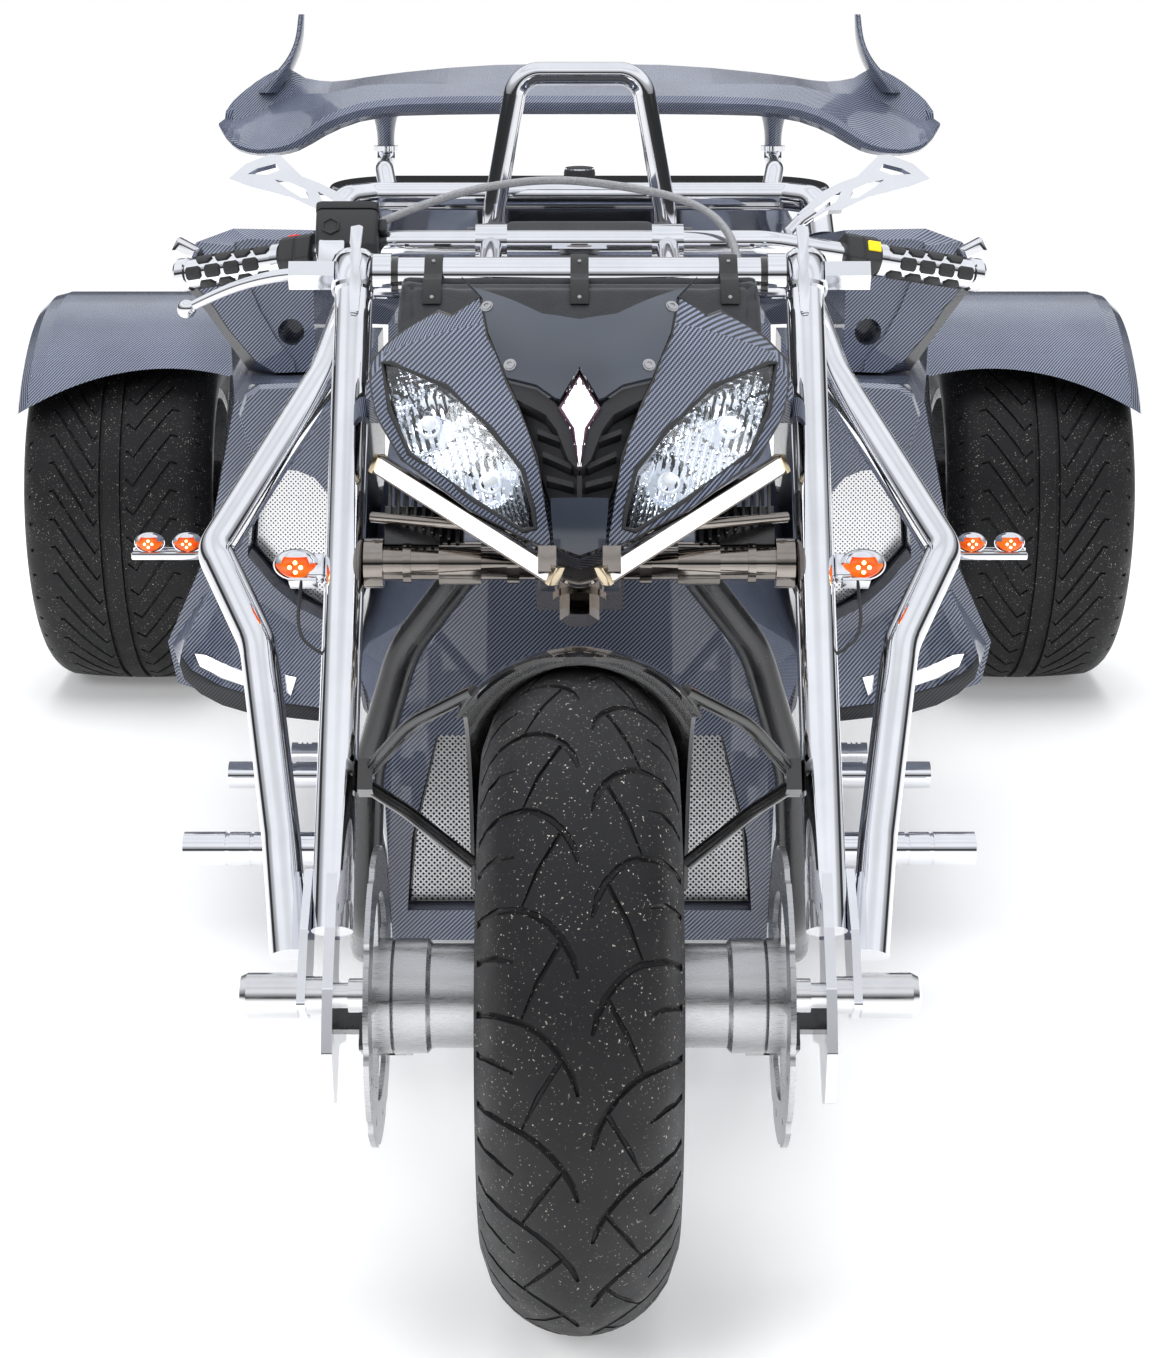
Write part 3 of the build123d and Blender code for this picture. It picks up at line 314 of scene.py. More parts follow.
class Finish:
    """A material's nodes: each method adds one kind of node and gives back its output."""

    def __init__(self, name, **sockets):
        self.material = bpy.data.materials.new(name)
        self.material.use_nodes = True
        self.tree = self.material.node_tree
        self.shader = self.tree.nodes["Principled BSDF"]
        self.put(self.shader, sockets)
        self.place = self.node("ShaderNodeTexCoord").outputs["Object"]

    def node(self, kind, inputs=None, **settings):
        """Adds a node with its settings and inputs."""
        node = self.tree.nodes.new(kind)
        for key, value in settings.items():
            setattr(node, key, value)
        self.put(node, inputs or {})
        return node

    def put(self, node, inputs):
        """Links each input to an output, or sets its value."""
        for key, value in inputs.items():
            socket = node.inputs[key]
            if isinstance(value, bpy.types.NodeSocket):
                self.tree.links.new(value, socket)
            elif isinstance(value, (tuple, list)) and len(value) == 3 and socket.type == "RGBA":
                socket.default_value = (*value, 1)
            else:
                socket.default_value = value

    def noise(self, scale, detail=3.0, rough=0.5, place=None):
        inputs = {"Vector": place or self.place, "Scale": scale, "Detail": detail, "Roughness": rough}
        return self.node("ShaderNodeTexNoise", inputs).outputs["Fac"]

    def cells(self, scale):
        return self.node("ShaderNodeTexVoronoi", {"Vector": self.place, "Scale": scale}).outputs["Distance"]

    def stretched(self, scale):
        return self.node("ShaderNodeMapping", {"Vector": self.place, "Scale": scale}).outputs["Vector"]

    def maths(self, operation, first, second=0.0):
        return self.node("ShaderNodeMath", {0: first, 1: second}, operation=operation).outputs[0]

    def ramp(self, value, low, high, out_low=0.0, out_high=1.0):
        """A value stretched from one range to another, with its ends held."""
        node = self.node("ShaderNodeMapRange", {"Value": value, "From Min": low, "From Max": high,
                                                "To Min": out_low, "To Max": out_high})
        return node.outputs["Result"]

    def blend(self, share, first, second):
        node = self.node("ShaderNodeMix", data_type="RGBA")
        self.put(node, {0: share, 6: first, 7: second})
        return node.outputs[2]

    def colour(self, value):
        self.put(self.shader, {"Base Color": value})

    def rough(self, value):
        self.put(self.shader, {"Roughness": value})

    def bump(self, height, depth, strength=1.0):
        bump = self.node("ShaderNodeBump", {"Height": height, "Distance": depth, "Strength": strength})
        self.tree.links.new(bump.outputs["Normal"], self.shader.inputs["Normal"])

    def axes(self, place=None):
        """The three parts of the place, or of another vector."""
        split = self.node("ShaderNodeSeparateXYZ", {0: place or self.place})
        return split.outputs[0], split.outputs[1], split.outputs[2]

    def facing(self):
        """How far the surface faces along each axis."""
        normal = self.node("ShaderNodeNewGeometry").outputs["Normal"]
        return [self.maths("ABSOLUTE", part) for part in self.axes(normal)]


WEAVE_PITCH = 0.0013  # metres from one tow to the next


def twill(finish, u, v):
    """A 2/2 twill seen from one side: which tow is on top, and how high it stands."""
    col = finish.maths("DIVIDE", u, WEAVE_PITCH)
    row = finish.maths("DIVIDE", v, WEAVE_PITCH)
    step = finish.maths("SUBTRACT", finish.maths("FLOOR", col), finish.maths("FLOOR", row))
    turn = finish.maths("FLOORED_MODULO", step, 4.0)
    warp = finish.maths("LESS_THAN", turn, 1.5)
    across = finish.maths("PINGPONG", col, 0.5)
    along = finish.maths("PINGPONG", row, 0.5)
    height = finish.maths("ADD", finish.maths("MULTIPLY", warp, across),
                          finish.maths("MULTIPLY", finish.maths("SUBTRACT", 1.0, warp), along))
    return warp, height


def carbon_weave(name, low, high, coat):
    """Clear-coated woven cloth whose upper tows carry a painted sheen that runs from one tone to another in soft
    patches.
    """
    finish = Finish(name, Metallic=0.25, **{"Coat Weight": coat, "Coat Roughness": 0.03})
    x, y, z = finish.axes()
    side = finish.facing()
    faces = {"front": (x, z), "side": (y, z), "top": (x, y)}
    woven = {view: twill(finish, *pair) for view, pair in faces.items()}
    on_side = finish.maths("GREATER_THAN", side[0], finish.maths("MAXIMUM", side[1], side[2]))
    on_top = finish.maths("GREATER_THAN", side[2], finish.maths("MAXIMUM", side[0], side[1]))
    picked = []
    for front, side_on, top in zip(woven["front"], woven["side"], woven["top"]):
        upright = finish.node("ShaderNodeMix", {0: on_side, 2: front, 3: side_on}).outputs[0]
        picked.append(finish.node("ShaderNodeMix", {0: on_top, 2: upright, 3: top}).outputs[0])
    warp, height = picked
    patchy = finish.ramp(finish.noise(9.0, 2.0), 0.35, 0.7, 0.75, 1.1)
    light = finish.blend(patchy, low, high)
    dark = (0.012, 0.014, 0.02)
    # Painted sheen and shade: upper tows take the light tone, brightest at their crests. The under tows keep the
    # dark tone, and each upper tow darkens towards its edges as painted shade.
    painted_sheen_and_shade = finish.maths("MULTIPLY", warp, finish.ramp(height, 0.0, 0.4, 0.35, 1.0))
    finish.colour(finish.blend(painted_sheen_and_shade, dark, light))
    finish.rough(finish.ramp(height, 0.0, 0.5, 0.5, 0.3))
    finish.bump(height, 0.0004, 0.35)
    return finish.material


def plated(name, bright, dull, low, high):
    """Bright plate with faint smudges and ripples; dark nickel and worn plate differ in tone."""
    finish = Finish(name, Metallic=1.0)
    smudge = finish.noise(14.0, 5.0, 0.6)
    finish.colour(finish.blend(finish.ramp(smudge, 0.3, 0.8), bright, dull))
    finish.rough(finish.ramp(smudge, 0.35, 0.75, low, high))
    finish.bump(finish.noise(9.0, 1.0), 0.0008, 0.16)
    return finish.material


def polished_alloy():
    finish = Finish("polished cast alloy", Metallic=1.0)
    grain = finish.noise(55.0, 4.0)
    finish.colour(finish.blend(grain, (0.66, 0.66, 0.67), (0.78, 0.78, 0.79)))
    finish.rough(finish.ramp(grain, 0.3, 0.7, 0.14, 0.22))
    finish.bump(finish.noise(90.0, 3.0), 0.0001, 0.15)
    return finish.material


def brushed_steel():
    finish = Finish("brushed stainless steel", Metallic=1.0)
    lines = finish.noise(60.0, 3.0, 0.6, finish.stretched((1, 12, 12)))
    finish.colour(finish.blend(lines, (0.42, 0.42, 0.43), (0.62, 0.62, 0.63)))
    finish.rough(finish.ramp(lines, 0.3, 0.7, 0.2, 0.38))
    finish.bump(lines, 0.0002, 0.2)
    return finish.material


def black_enamel():
    finish = Finish("black gloss enamel", **{"Coat Weight": 0.6, "Coat Roughness": 0.06})
    film = finish.noise(30.0, 4.0)
    finish.colour(finish.blend(film, (0.008, 0.008, 0.009), (0.02, 0.02, 0.022)))
    finish.rough(finish.ramp(film, 0.3, 0.7, 0.22, 0.36))
    finish.bump(finish.noise(160.0, 2.0), 0.0002, 0.15)
    return finish.material


def deep_gloss_black():
    finish = Finish("deep gloss black", **{"Coat Weight": 1.0, "Coat Roughness": 0.02})
    tone_noise = finish.noise(4.0, 3.0)
    # The warm lighter patches are a painted golden reflection on the black paint.
    finish.colour(finish.blend(finish.ramp(tone_noise, 0.4, 0.7), (0.006, 0.006, 0.007), (0.02, 0.017, 0.013)))
    finish.rough(finish.ramp(finish.noise(80.0), 0.3, 0.7, 0.1, 0.2))
    return finish.material


def plum_rim():
    finish = Finish("dark plum lamp rim", **{"Coat Weight": 1.0, "Coat Roughness": 0.04})
    tone_noise = finish.noise(60.0, 2.0)
    finish.colour(finish.blend(tone_noise, (0.012, 0.006, 0.01), (0.11, 0.03, 0.075)))
    finish.rough(finish.ramp(tone_noise, 0.3, 0.7, 0.15, 0.3))
    return finish.material


def smoked_screen():
    finish = Finish("smoked gloss screen", **{"Coat Weight": 1.0, "Coat Roughness": 0.02})
    tone_noise = finish.noise(5.0, 2.0)
    finish.colour(finish.blend(finish.ramp(tone_noise, 0.35, 0.7), (0.02, 0.026, 0.038), (0.05, 0.06, 0.08)))
    finish.rough(0.14)
    return finish.material


def moulded_black():
    finish = Finish("moulded black plastic")
    grain = finish.noise(420.0, 3.0)
    finish.colour(finish.blend(grain, (0.012, 0.012, 0.013), (0.03, 0.03, 0.032)))
    finish.rough(finish.ramp(grain, 0.3, 0.7, 0.38, 0.55))
    finish.bump(grain, 0.0002, 0.3)
    return finish.material


def control_rubber():
    finish = Finish("black control rubber")
    grain = finish.noise(300.0, 3.0)
    finish.colour(finish.blend(grain, (0.01, 0.01, 0.01), (0.035, 0.035, 0.036)))
    finish.rough(finish.ramp(grain, 0.3, 0.7, 0.5, 0.7))
    finish.bump(grain, 0.0003, 0.35)
    return finish.material


def tyre_rubber():
    finish = Finish("road tyre rubber", **{"Specular IOR Level": 0.3})
    wear = finish.noise(22.0, 4.0)
    base = finish.blend(wear, (0.006, 0.006, 0.0068), (0.014, 0.0138, 0.0145))
    specks = finish.ramp(finish.noise(380.0, 2.5), 0.66, 0.70)
    patches = finish.ramp(finish.noise(30.0, 2.0), 0.3, 0.65)
    dust = finish.maths("MULTIPLY", specks, patches)
    finish.colour(finish.blend(dust, base, (0.5, 0.46, 0.40)))
    finish.rough(finish.ramp(wear, 0.3, 0.7, 0.42, 0.62))
    finish.bump(finish.noise(500.0, 3.0), 0.0003, 0.35)
    return finish.material


def seat_leather():
    finish = Finish("black grained leather", **{"Sheen Weight": 0.08})
    pores = finish.cells(420.0)
    creases = finish.noise(28.0, 4.0, 0.6)
    # Painted shade: the leather is darker where the crease relief is lower, and lighter on its raised parts.
    finish.colour(finish.blend(creases, (0.012, 0.012, 0.014), (0.035, 0.036, 0.04)))
    finish.rough(finish.ramp(creases, 0.3, 0.7, 0.36, 0.52))
    finish.bump(finish.maths("ADD", pores, finish.maths("MULTIPLY", creases, 1.5)), 0.0006, 0.4)
    return finish.material


def lit(name, colour, strength, centre=None):
    """A lit lamp face, or a switch cap given a painted glow, with patches whose colour can differ."""
    finish = Finish(name, Roughness=0.2)
    glow = finish.noise(60.0, 1.0)
    finish.colour(finish.blend(glow, colour, tuple(min(1.0, c * 1.1) for c in colour)))
    patches = finish.blend(finish.ramp(glow, 0.4, 0.6), colour, centre or colour)
    finish.put(finish.shader, {"Emission Color": patches, "Emission Strength": strength})
    return finish.material


def lamp_glass():
    finish = Finish("clear lamp glass", Roughness=0.02, IOR=1.45, **{"Transmission Weight": 1.0})
    finish.colour(finish.blend(finish.noise(6.0), (0.96, 0.98, 1.0), (0.99, 1.0, 1.0)))
    return finish.material


def braided_sleeve():
    finish = Finish("braided hose sleeve", Metallic=0.6)
    strands = finish.cells(900.0)
    finish.colour(finish.blend(strands, (0.16, 0.16, 0.17), (0.5, 0.51, 0.52)))
    finish.rough(finish.ramp(strands, 0.1, 0.6, 0.3, 0.5))
    finish.bump(strands, 0.0005, 0.6)
    return finish.material


def cast_metal():
    finish = Finish("cast engine metal", Metallic=0.8)
    sand = finish.noise(240.0, 4.0)
    finish.colour(finish.blend(finish.noise(12.0, 3.0), (0.09, 0.09, 0.095), (0.2, 0.2, 0.2)))
    finish.rough(finish.ramp(sand, 0.3, 0.7, 0.45, 0.65))
    finish.bump(sand, 0.0006, 0.5)
    return finish.material


# Each weave's two tones are the painted sheen on its upper tows.
CARBON = carbon_weave("clear coated carbon weave", (0.10, 0.115, 0.17), (0.29, 0.33, 0.46), 1.0)
DARK_CARBON = carbon_weave("dark carbon weave", (0.022, 0.022, 0.024), (0.06, 0.058, 0.056), 0.12)
CHROME = plated("bright chrome plate", (0.88, 0.89, 0.92), (0.76, 0.77, 0.8), 0.03, 0.09)
DARK_CHROME = plated("dark nickel plate", (0.36, 0.33, 0.3), (0.22, 0.19, 0.17), 0.07, 0.16)
REFLECTOR = plated("lamp reflector plate", (0.86, 0.88, 0.92), (0.7, 0.74, 0.8), 0.05, 0.12)
BRASS = plated("warm plated end caps", (0.62, 0.52, 0.36), (0.45, 0.37, 0.26), 0.14, 0.28)
ALLOY = polished_alloy()
STEEL = brushed_steel()
ENAMEL = black_enamel()
GLOSS = deep_gloss_black()
SCREEN = smoked_screen()
MOULDED = moulded_black()
RUBBER = control_rubber()
TYRE = tyre_rubber()
LEATHER = seat_leather()
WHITE_LIT = lit("lit white diffuser", (0.95, 0.96, 1.0), 1.1)
AMBER_LIT = lit("lit amber lens", (0.75, 0.07, 0.003), 0.5, (1.0, 0.26, 0.015))
BULB = lit("frosted bulb glass", (0.9, 0.93, 1.0), 0.35)
FILAMENT = lit("bright signal bulbs", (1.0, 0.86, 0.3), 2.2, (1.0, 0.97, 0.75))
PLUM = plum_rim()
RED_LENS = lit("red tail lens", (0.4, 0.01, 0.01), 0.25, (0.7, 0.03, 0.02))
# The switch caps are no lamps: their faint emission is a painted glow.
RED_SWITCH_PAINTED_GLOW = lit("red switch cap", (0.75, 0.012, 0.008), 0.12)
YELLOW_SWITCH_PAINTED_GLOW = lit("yellow switch cap", (0.95, 0.66, 0.01), 0.12)
GLASS = lamp_glass()
BRAID = braided_sleeve()
CAST = cast_metal()

SLOT_FINISH = {"black_metal": ENAMEL, "carbon": CARBON, "leather": LEATHER, "chrome": CHROME,
               "polished_metal": ALLOY, "engine_metal": CAST, "red_lamp": RED_LENS, "amber_lamp": AMBER_LIT,
               "black_rubber": RUBBER, "gloss_black": GLOSS, "clear_lens": GLASS, "matte_black": MOULDED,
               "white_lamp": WHITE_LIT, "braided_hose": BRAID, "tyre": TYRE, "rim_metal": STEEL,
               "mesh": STEEL}
for part in frame["record"]["subparts"]:
    slots = frame["nodes"][part["node"]].data.materials
    slots.clear()
    slots.append(SLOT_FINISH[part["material_slot"]])
frame["nodes"]["screen"].data.materials[0] = SCREEN
frame["nodes"]["lower_yoke"].data.materials[0] = DARK_CHROME
for bright in ("mirrors", "tank_drum", "foot_pegs"):
    frame["nodes"][bright].data.materials[0] = CHROME


# ---------------------------------------------------------------- tyres with cut treads

TREAD_SMOOTHING = 28

def bulge(first, last, radius, steps=5):
    """Points on an arc from one point to the next that stands out from their line."""
    first, last = Vector(first), Vector(last)
    run = last - first
    out = Vector((-run.y, run.x)).normalized()
    centre = (first + last) / 2 - out * math.sqrt(radius ** 2 - (run.length / 2) ** 2)
    begin = math.atan2(first.y - centre.y, first.x - centre.x)
    sweep = math.atan2(last.y - centre.y, last.x - centre.x) - begin
    turns = [begin + sweep * k / steps for k in range(1, steps + 1)]
    return [tuple(centre + radius * Vector((math.cos(a), math.sin(a)))) for a in turns]


class Tyre:
    """A tyre's outline round its wheel, and the grooves that are cut into its tread."""

    def __init__(self, radius, crown, drop, lip, seat, shoulder=None, notches=()):
        self.radius, self.crown = radius, crown
        self.bend = (crown ** 2 + drop ** 2) / (2 * drop)
        surface = {crown * k / 9: 0.0 for k in range(-9, 10)}
        for at, half, depth in notches:
            surface = {x: cut for x, cut in surface.items() if abs(x - at) > half * 1.2}
            surface.update({at - half: 0, at - half * 0.7: depth, at + half * 0.7: depth, at + half: 0})
        surface = [(x, self.height(x) - cut) for x, cut in sorted(surface.items())]
        side = [surface[-1] if not notches else (crown, self.height(crown))]
        if shoulder:
            side += bulge(side[-1], shoulder, 1.1 * math.dist(side[-1], shoulder))
        side += bulge(side[-1], lip, 1.6 * math.dist(side[-1], lip), 7) + [(seat[0], lip[1]), seat]
        self.outline = [(-x, r) for x, r in reversed(side[1:])] + surface + side[1:]

    def height(self, x):
        """Radius of the tread's surface at a distance from its middle."""
        return self.radius - self.bend + math.sqrt(self.bend ** 2 - min(abs(x), self.crown) ** 2)

    def spot(self, x, along):
        """Place on the tread, a distance along it from its top towards the front."""
        turn = along / self.radius
        height = self.height(x) - 0.0012 - 0.6 * max(0.0, abs(x) - self.crown)
        return Vector((x, -height * math.sin(turn), height * math.cos(turn)))

    def groove(self, points, width, shift):
        """A cutter for a round-bottomed groove through points on the tread, narrower at its end."""
        run = []
        for (x0, s0), (x1, s1) in zip(points, points[1:]):
            steps = max(1, round(math.dist((x0, s0), (x1, s1)) / 0.03))
            run += [self.spot(x0 + (x1 - x0) * k / steps, s0 + (s1 - s0) * k / steps + shift)
                    for k in range(steps)]
        run.append(self.spot(points[-1][0], points[-1][1] + shift))
        return pipe(run, width / 2, smooth=False, sides=1, widths=[1.0] * (len(run) - 1) + [0.5])

    def made(self, pitches, grooves):
        """One pitch of the tyre with its grooves cut, copied round the wheel and sewn together."""
        pitch, turn = 2 * math.pi * self.radius / pitches, 2 * math.pi / pitches
        sector = outline(self.outline, "XZ")
        with editing(sector):
            take_all()
            bpy.ops.mesh.spin(steps=3, angle=-turn, center=(0, 0, 0), axis=(1, 0, 0))
            face_outwards(merge=1e-6)
        cutters = []
        for points, width in grooves:
            low, high = min(s for _, s in points) - width, max(s for _, s in points) + width
            cutters += [self.groove(points, width, lap * pitch) for lap in range(-4, 5)
                        if high + lap * pitch > 0 and low + lap * pitch < pitch]
        for cutter in cutters:
            modify(sector, "BOOLEAN", operation="DIFFERENCE", object=cutter, solver="EXACT")
            bpy.data.objects.remove(cutter)
        with editing(sector):
            for angle in (0, turn):
                tangent = Matrix.Rotation(angle, 4, "X") @ Y
                choose(sector, "FACE", lambda c, n: abs(c.dot(tangent)) < 1e-5 and abs(n.dot(tangent)) > 0.99)
                bpy.ops.mesh.delete(type="FACE")
        ring = joined(copies(sector, [Matrix.Rotation(turn * k, 4, "X") for k in range(pitches)]))
        with editing(ring):
            face_outwards(merge=2e-5)
        return ring


def front_tyre():
    """Round-profile tyre whose long hooks, slashes and edge cuts alternate from side to side."""
    tyre = Tyre(radius=0.311, crown=0.09, drop=0.076, lip=(0.0779, 0.2143), seat=(0.07, 0.205))
    hook = [(-0.088, 0.0), (-0.069, -0.002), (-0.047, 0.003), (-0.036, 0.009), (-0.025, 0.018),
            (-0.014, 0.031), (-0.006, 0.046), (-0.001, 0.063)]
    slash = [(-0.0155, 0.034), (-0.034, 0.066), (-0.0475, 0.097)]
    cut = [(-0.088, 0.043), (-0.070, 0.042), (-0.055, 0.048)]
    shift_across, shift_along, share = 0.0095, 0.047, 0.892  # of the right half against the left one
    grooves = [(hook, 0.0074), (slash, 0.006), (cut, 0.0068)]
    grooves += [([(shift_across - share * x, s + shift_along) for x, s in points], width)
                for points, width in grooves]
    ring = tyre.made(20, grooves)
    return finished(ring, "front_tyre_tread", "front_wheel", TYRE, angle=TREAD_SMOOTHING)


def rear_tyres():
    """Wide road tyres: a centre rib between two grooves, nested chevrons, and cuts over the shoulders."""
    notches = [(-0.0218, 0.0045, 0.006), (0.0137, 0.0045, 0.006)]  # across, half width, depth
    tyre = Tyre(radius=0.33, crown=0.128, drop=0.007, lip=(0.1399, 0.2043), seat=(0.132, 0.195),
                shoulder=(0.163, 0.288), notches=notches)
    outer = [(-0.150, 0.012), (-0.145, 0.008), (-0.104, -0.002), (-0.036, 0.108), (-0.029, 0.098)]
    inner = [(0.021, 0.028), (0.034, 0.040), (0.097, -0.052), (0.139, -0.040), (0.148, -0.036)]
    ring = tyre.made(42, [(outer, 0.0066), (inner, 0.0066)])
    for piece, side in zip(mirrored(ring), ("left", "right")):
        finished(piece, f"rear_tyre_tread_{side}", f"rear_wheel_{side}", TYRE, angle=TREAD_SMOOTHING)
        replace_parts(piece, f"rear_tyre_{side}")


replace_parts(front_tyre(), "front_tyre")
rear_tyres()


# ---------------------------------------------------------------- small parts used all over

def stand(at, facing, up=Z):
    """Place of a piece shaped round the origin whose +Z is to face one way."""
    facing = Vector(facing).normalized()
    side = up.cross(facing)
    side = side.normalized() if side.length > 1e-4 else X
    return Matrix.Translation(at) @ Matrix((side, facing.cross(side), facing)).transposed().to_4x4()


def screw(radius):
    """Button-headed screw on a washer, with a socket, standing up from the origin."""
    height = radius * 0.5
    piece = rod((0, 0, 0), (0, 0, height * 0.3), radius * 1.25)
    for lift, inset in ((0, 0.25 * radius), (height * 0.7, 0), (0, 0.22 * radius), (0, 0.3 * radius),
                        (-height * 0.6, 0)):
        with editing(piece):
            choose(piece, "FACE", lambda c, n: n.z > 0.9 and c.z > height * 0.25 and c.xy.length < 1e-4)
            if inset:
                bpy.ops.mesh.inset(thickness=inset, depth=0)
            if lift:
                push((0, 0, lift))
    return round_edges(piece, radius * 0.06, 2, 40)


def screws(places, radius, name, body):
    """Copies of one steel screw at (point, facing) places."""
    made = copies(screw(radius), [stand(at, facing) for at, facing in places])
    return finished(made, name, body, STEEL)


def flat_band(path, thick, at, width):
    """Strap or strip of sheet that follows (behind, up) points, a width across at x = at."""
    outer, inner = [], []
    for k, point in enumerate(path):
        before, after = Vector(path[max(k - 1, 0)]), Vector(path[min(k + 1, len(path) - 1)])
        run = (after - before).normalized()
        out = Vector((run.y, -run.x)) * thick / 2
        outer.append(tuple(Vector(point) + out))
        inner.append(tuple(Vector(point) - out))
    return plate(outer + inner[::-1], "YZ", at - width / 2, width, 0.0006)


def tray(first, last, height, depth, wall, up):
    """Open channel between two points, its mouth facing ahead; gives its place and half length too."""
    first, last = Vector(first), Vector(last)
    along = (last - first).normalized()
    back = up.cross(along).normalized()
    if back.y < 0:
        back = -back
    turn = Matrix((along, back, along.cross(back))).transposed().to_4x4()
    place = Matrix.Translation((first + last) / 2) @ turn
    half = (last - first).length / 2
    piece = box((-half, 0, -height / 2), (half, depth, height / 2))
    with editing(piece):
        choose(piece, "FACE", lambda c, n: n.y < -0.9)
        bpy.ops.mesh.inset(thickness=wall, depth=0)
        push((0, depth * 0.6, 0))
    round_edges(piece, wall * 0.35, 2, 40)
    apply_place(piece, place)
    return piece, place, half


# ---------------------------------------------------------------- fairing and lamps on the fork

DOME_CENTRE = Vector((0, 0.220, 0.600))
DOME_RADIUS = 0.340
BOWLS = ((0.150, 0.566, 0.030), (0.088, 0.500, 0.024))  # across, along, radius
LAMP = [(0.199, 0.638), (0.190, 0.635), (0.131, 0.592), (0.085, 0.540), (0.054, 0.497), (0.044, 0.460),
        (0.042, 0.444), (0.054, 0.442), (0.105, 0.475), (0.169, 0.530), (0.190, 0.581)]


def on_dome(across, along, depth=0.0):
    """Point of the fairing's domed surface, some depth behind it."""
    reach = (DOME_RADIUS - depth) ** 2 - across ** 2 - (along - DOME_CENTRE.z) ** 2
    return Vector((across, DOME_CENTRE.y - math.sqrt(reach), along))


def shrunk(points, amount):
    """A convex outline moved inward."""
    middle = sum((Vector(p) for p in points), Vector((0, 0))) / len(points)
    return [tuple(Vector(p) + (middle - Vector(p)).normalized() * amount) for p in points]


def clipped_grid(points, step):
    """A fine flat sheet, upright, cut to a convex outline."""
    low = [min(p[k] for p in points) for k in (0, 1)]
    high = [max(p[k] for p in points) for k in (0, 1)]
    counts = [max(2, round((h - l) / step)) for l, h in zip(low, high)]
    piece = start("grid", x_subdivisions=counts[0], y_subdivisions=counts[1], size=1)
    for vertex in piece.data.vertices:
        vertex.co = (low[0] + (vertex.co.x + 0.5) * (high[0] - low[0]), 0,
                     low[1] + (vertex.co.y + 0.5) * (high[1] - low[1]))
    middle = sum((Vector(p) for p in points), Vector((0, 0))) / len(points)
    with editing(piece):
        for first, last in zip(points, points[1:] + points[:1]):
            run = Vector(last) - Vector(first)
            out = Vector((run.y, -run.x))
            if out.dot(Vector(first) - middle) < 0:
                out = -out
            take_all()
            bpy.ops.mesh.bisect(plane_co=(first[0], 0, first[1]), plane_no=(out.x, 0, out.y),
                                clear_outer=True)
    return piece


def dome_sheet(points, depth, step, thick=0.0, relief=None):
    """A sheet that follows the fairing at a depth, with relief worked into it."""
    piece = clipped_grid(points, step)
    for vertex in piece.data.vertices:
        x, s = vertex.co.x, vertex.co.z
        vertex.co = on_dome(x, s, depth + (relief(x, s) if relief else 0.0))
    with editing(piece):
        choose(piece, "FACE", lambda c, n: n.y > 0)
        bpy.ops.mesh.flip_normals()
    if thick:
        modify(piece, "SOLIDIFY", thickness=thick, offset=-1, use_even_offset=True)
    return piece


def dome_line(points, depth, radius, sides=2):
    """A closed round strip that follows the fairing at a depth."""
    return pipe([on_dome(x, s, depth) for x, s in points], radius, smooth=False, sides=sides, cyclic=True)


def reflector_relief(x, s):
    """Depth of the fluted reflector: two bowls, and upright flutes that widen outwards."""
    relief = 0.0
    for bowl_x, bowl_s, radius in BOWLS:
        away = math.dist((x, s), (bowl_x, bowl_s)) / radius
        if away < 1:
            relief = max(relief, 0.014 * math.sqrt(1 - away ** 2))
    flute = abs(math.sin(math.pi * (x - 0.25 * (s - 0.5)) / 0.0085)) * 0.0045
    ledge = 0.006 if s - 0.545 > 0.8 * (x - 0.12) + 0.012 else 0.0
    return relief + flute * (0.4 if relief > 0.004 else 1.0) - ledge


def headlamps():
    """Clear covers in black gaskets over fluted reflectors in dark walls, with two bulbs in the bowls."""
    cover = dome_sheet(shrunk(LAMP, 0.0022), depth=0.0015, step=0.008, thick=0.0022)
    reflector = dome_sheet(shrunk(LAMP, 0.004), depth=0.021, step=0.0017, relief=reflector_relief)
    gasket = dome_line(shrunk(LAMP, 0.001), 0.0005, 0.0026, sides=3)
    wall = outline(shrunk(LAMP, 0.003))
    with editing(wall):
        take_all()
        bpy.ops.mesh.delete(type="ONLY_FACE")
        bpy.ops.mesh.select_mode(type="EDGE")
        take_all()
        push((0, 0.03, 0))
    for vertex in wall.data.vertices:
        deep = vertex.co.y > 0.01
        vertex.co = on_dome(vertex.co.x, vertex.co.z, 0.030 if deep else 0.003)
    with editing(wall):
        face_outwards()
    modify(wall, "SOLIDIFY", thickness=0.0012, offset=0)
    bulbs = []
    for x, s, _ in BOWLS:
        bulbs.append(ball(on_dome(x, s, 0.020), 0.0075, (1, 1.25, 1), 8))
        bulbs.append(turned([(0, 0.0092), (0, 0.0112), (0.006, 0.0112), (0.006, 0.0092)], Y,
                            on_dome(x, s, 0.026), 24))
    parts = [finished(mirrored(cover), "headlamp_covers", "fork", GLASS),
             finished(mirrored(reflector), "headlamp_reflectors", "fork", REFLECTOR),
             finished(mirrored(gasket), "headlamp_gaskets", "fork", MOULDED),
             finished(mirrored(wall), "headlamp_walls", "fork", GLOSS),
             finished(mirrored(joined(bulbs)), "headlamp_bulbs", "fork", BULB)]
    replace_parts(parts[0], "headlamps")


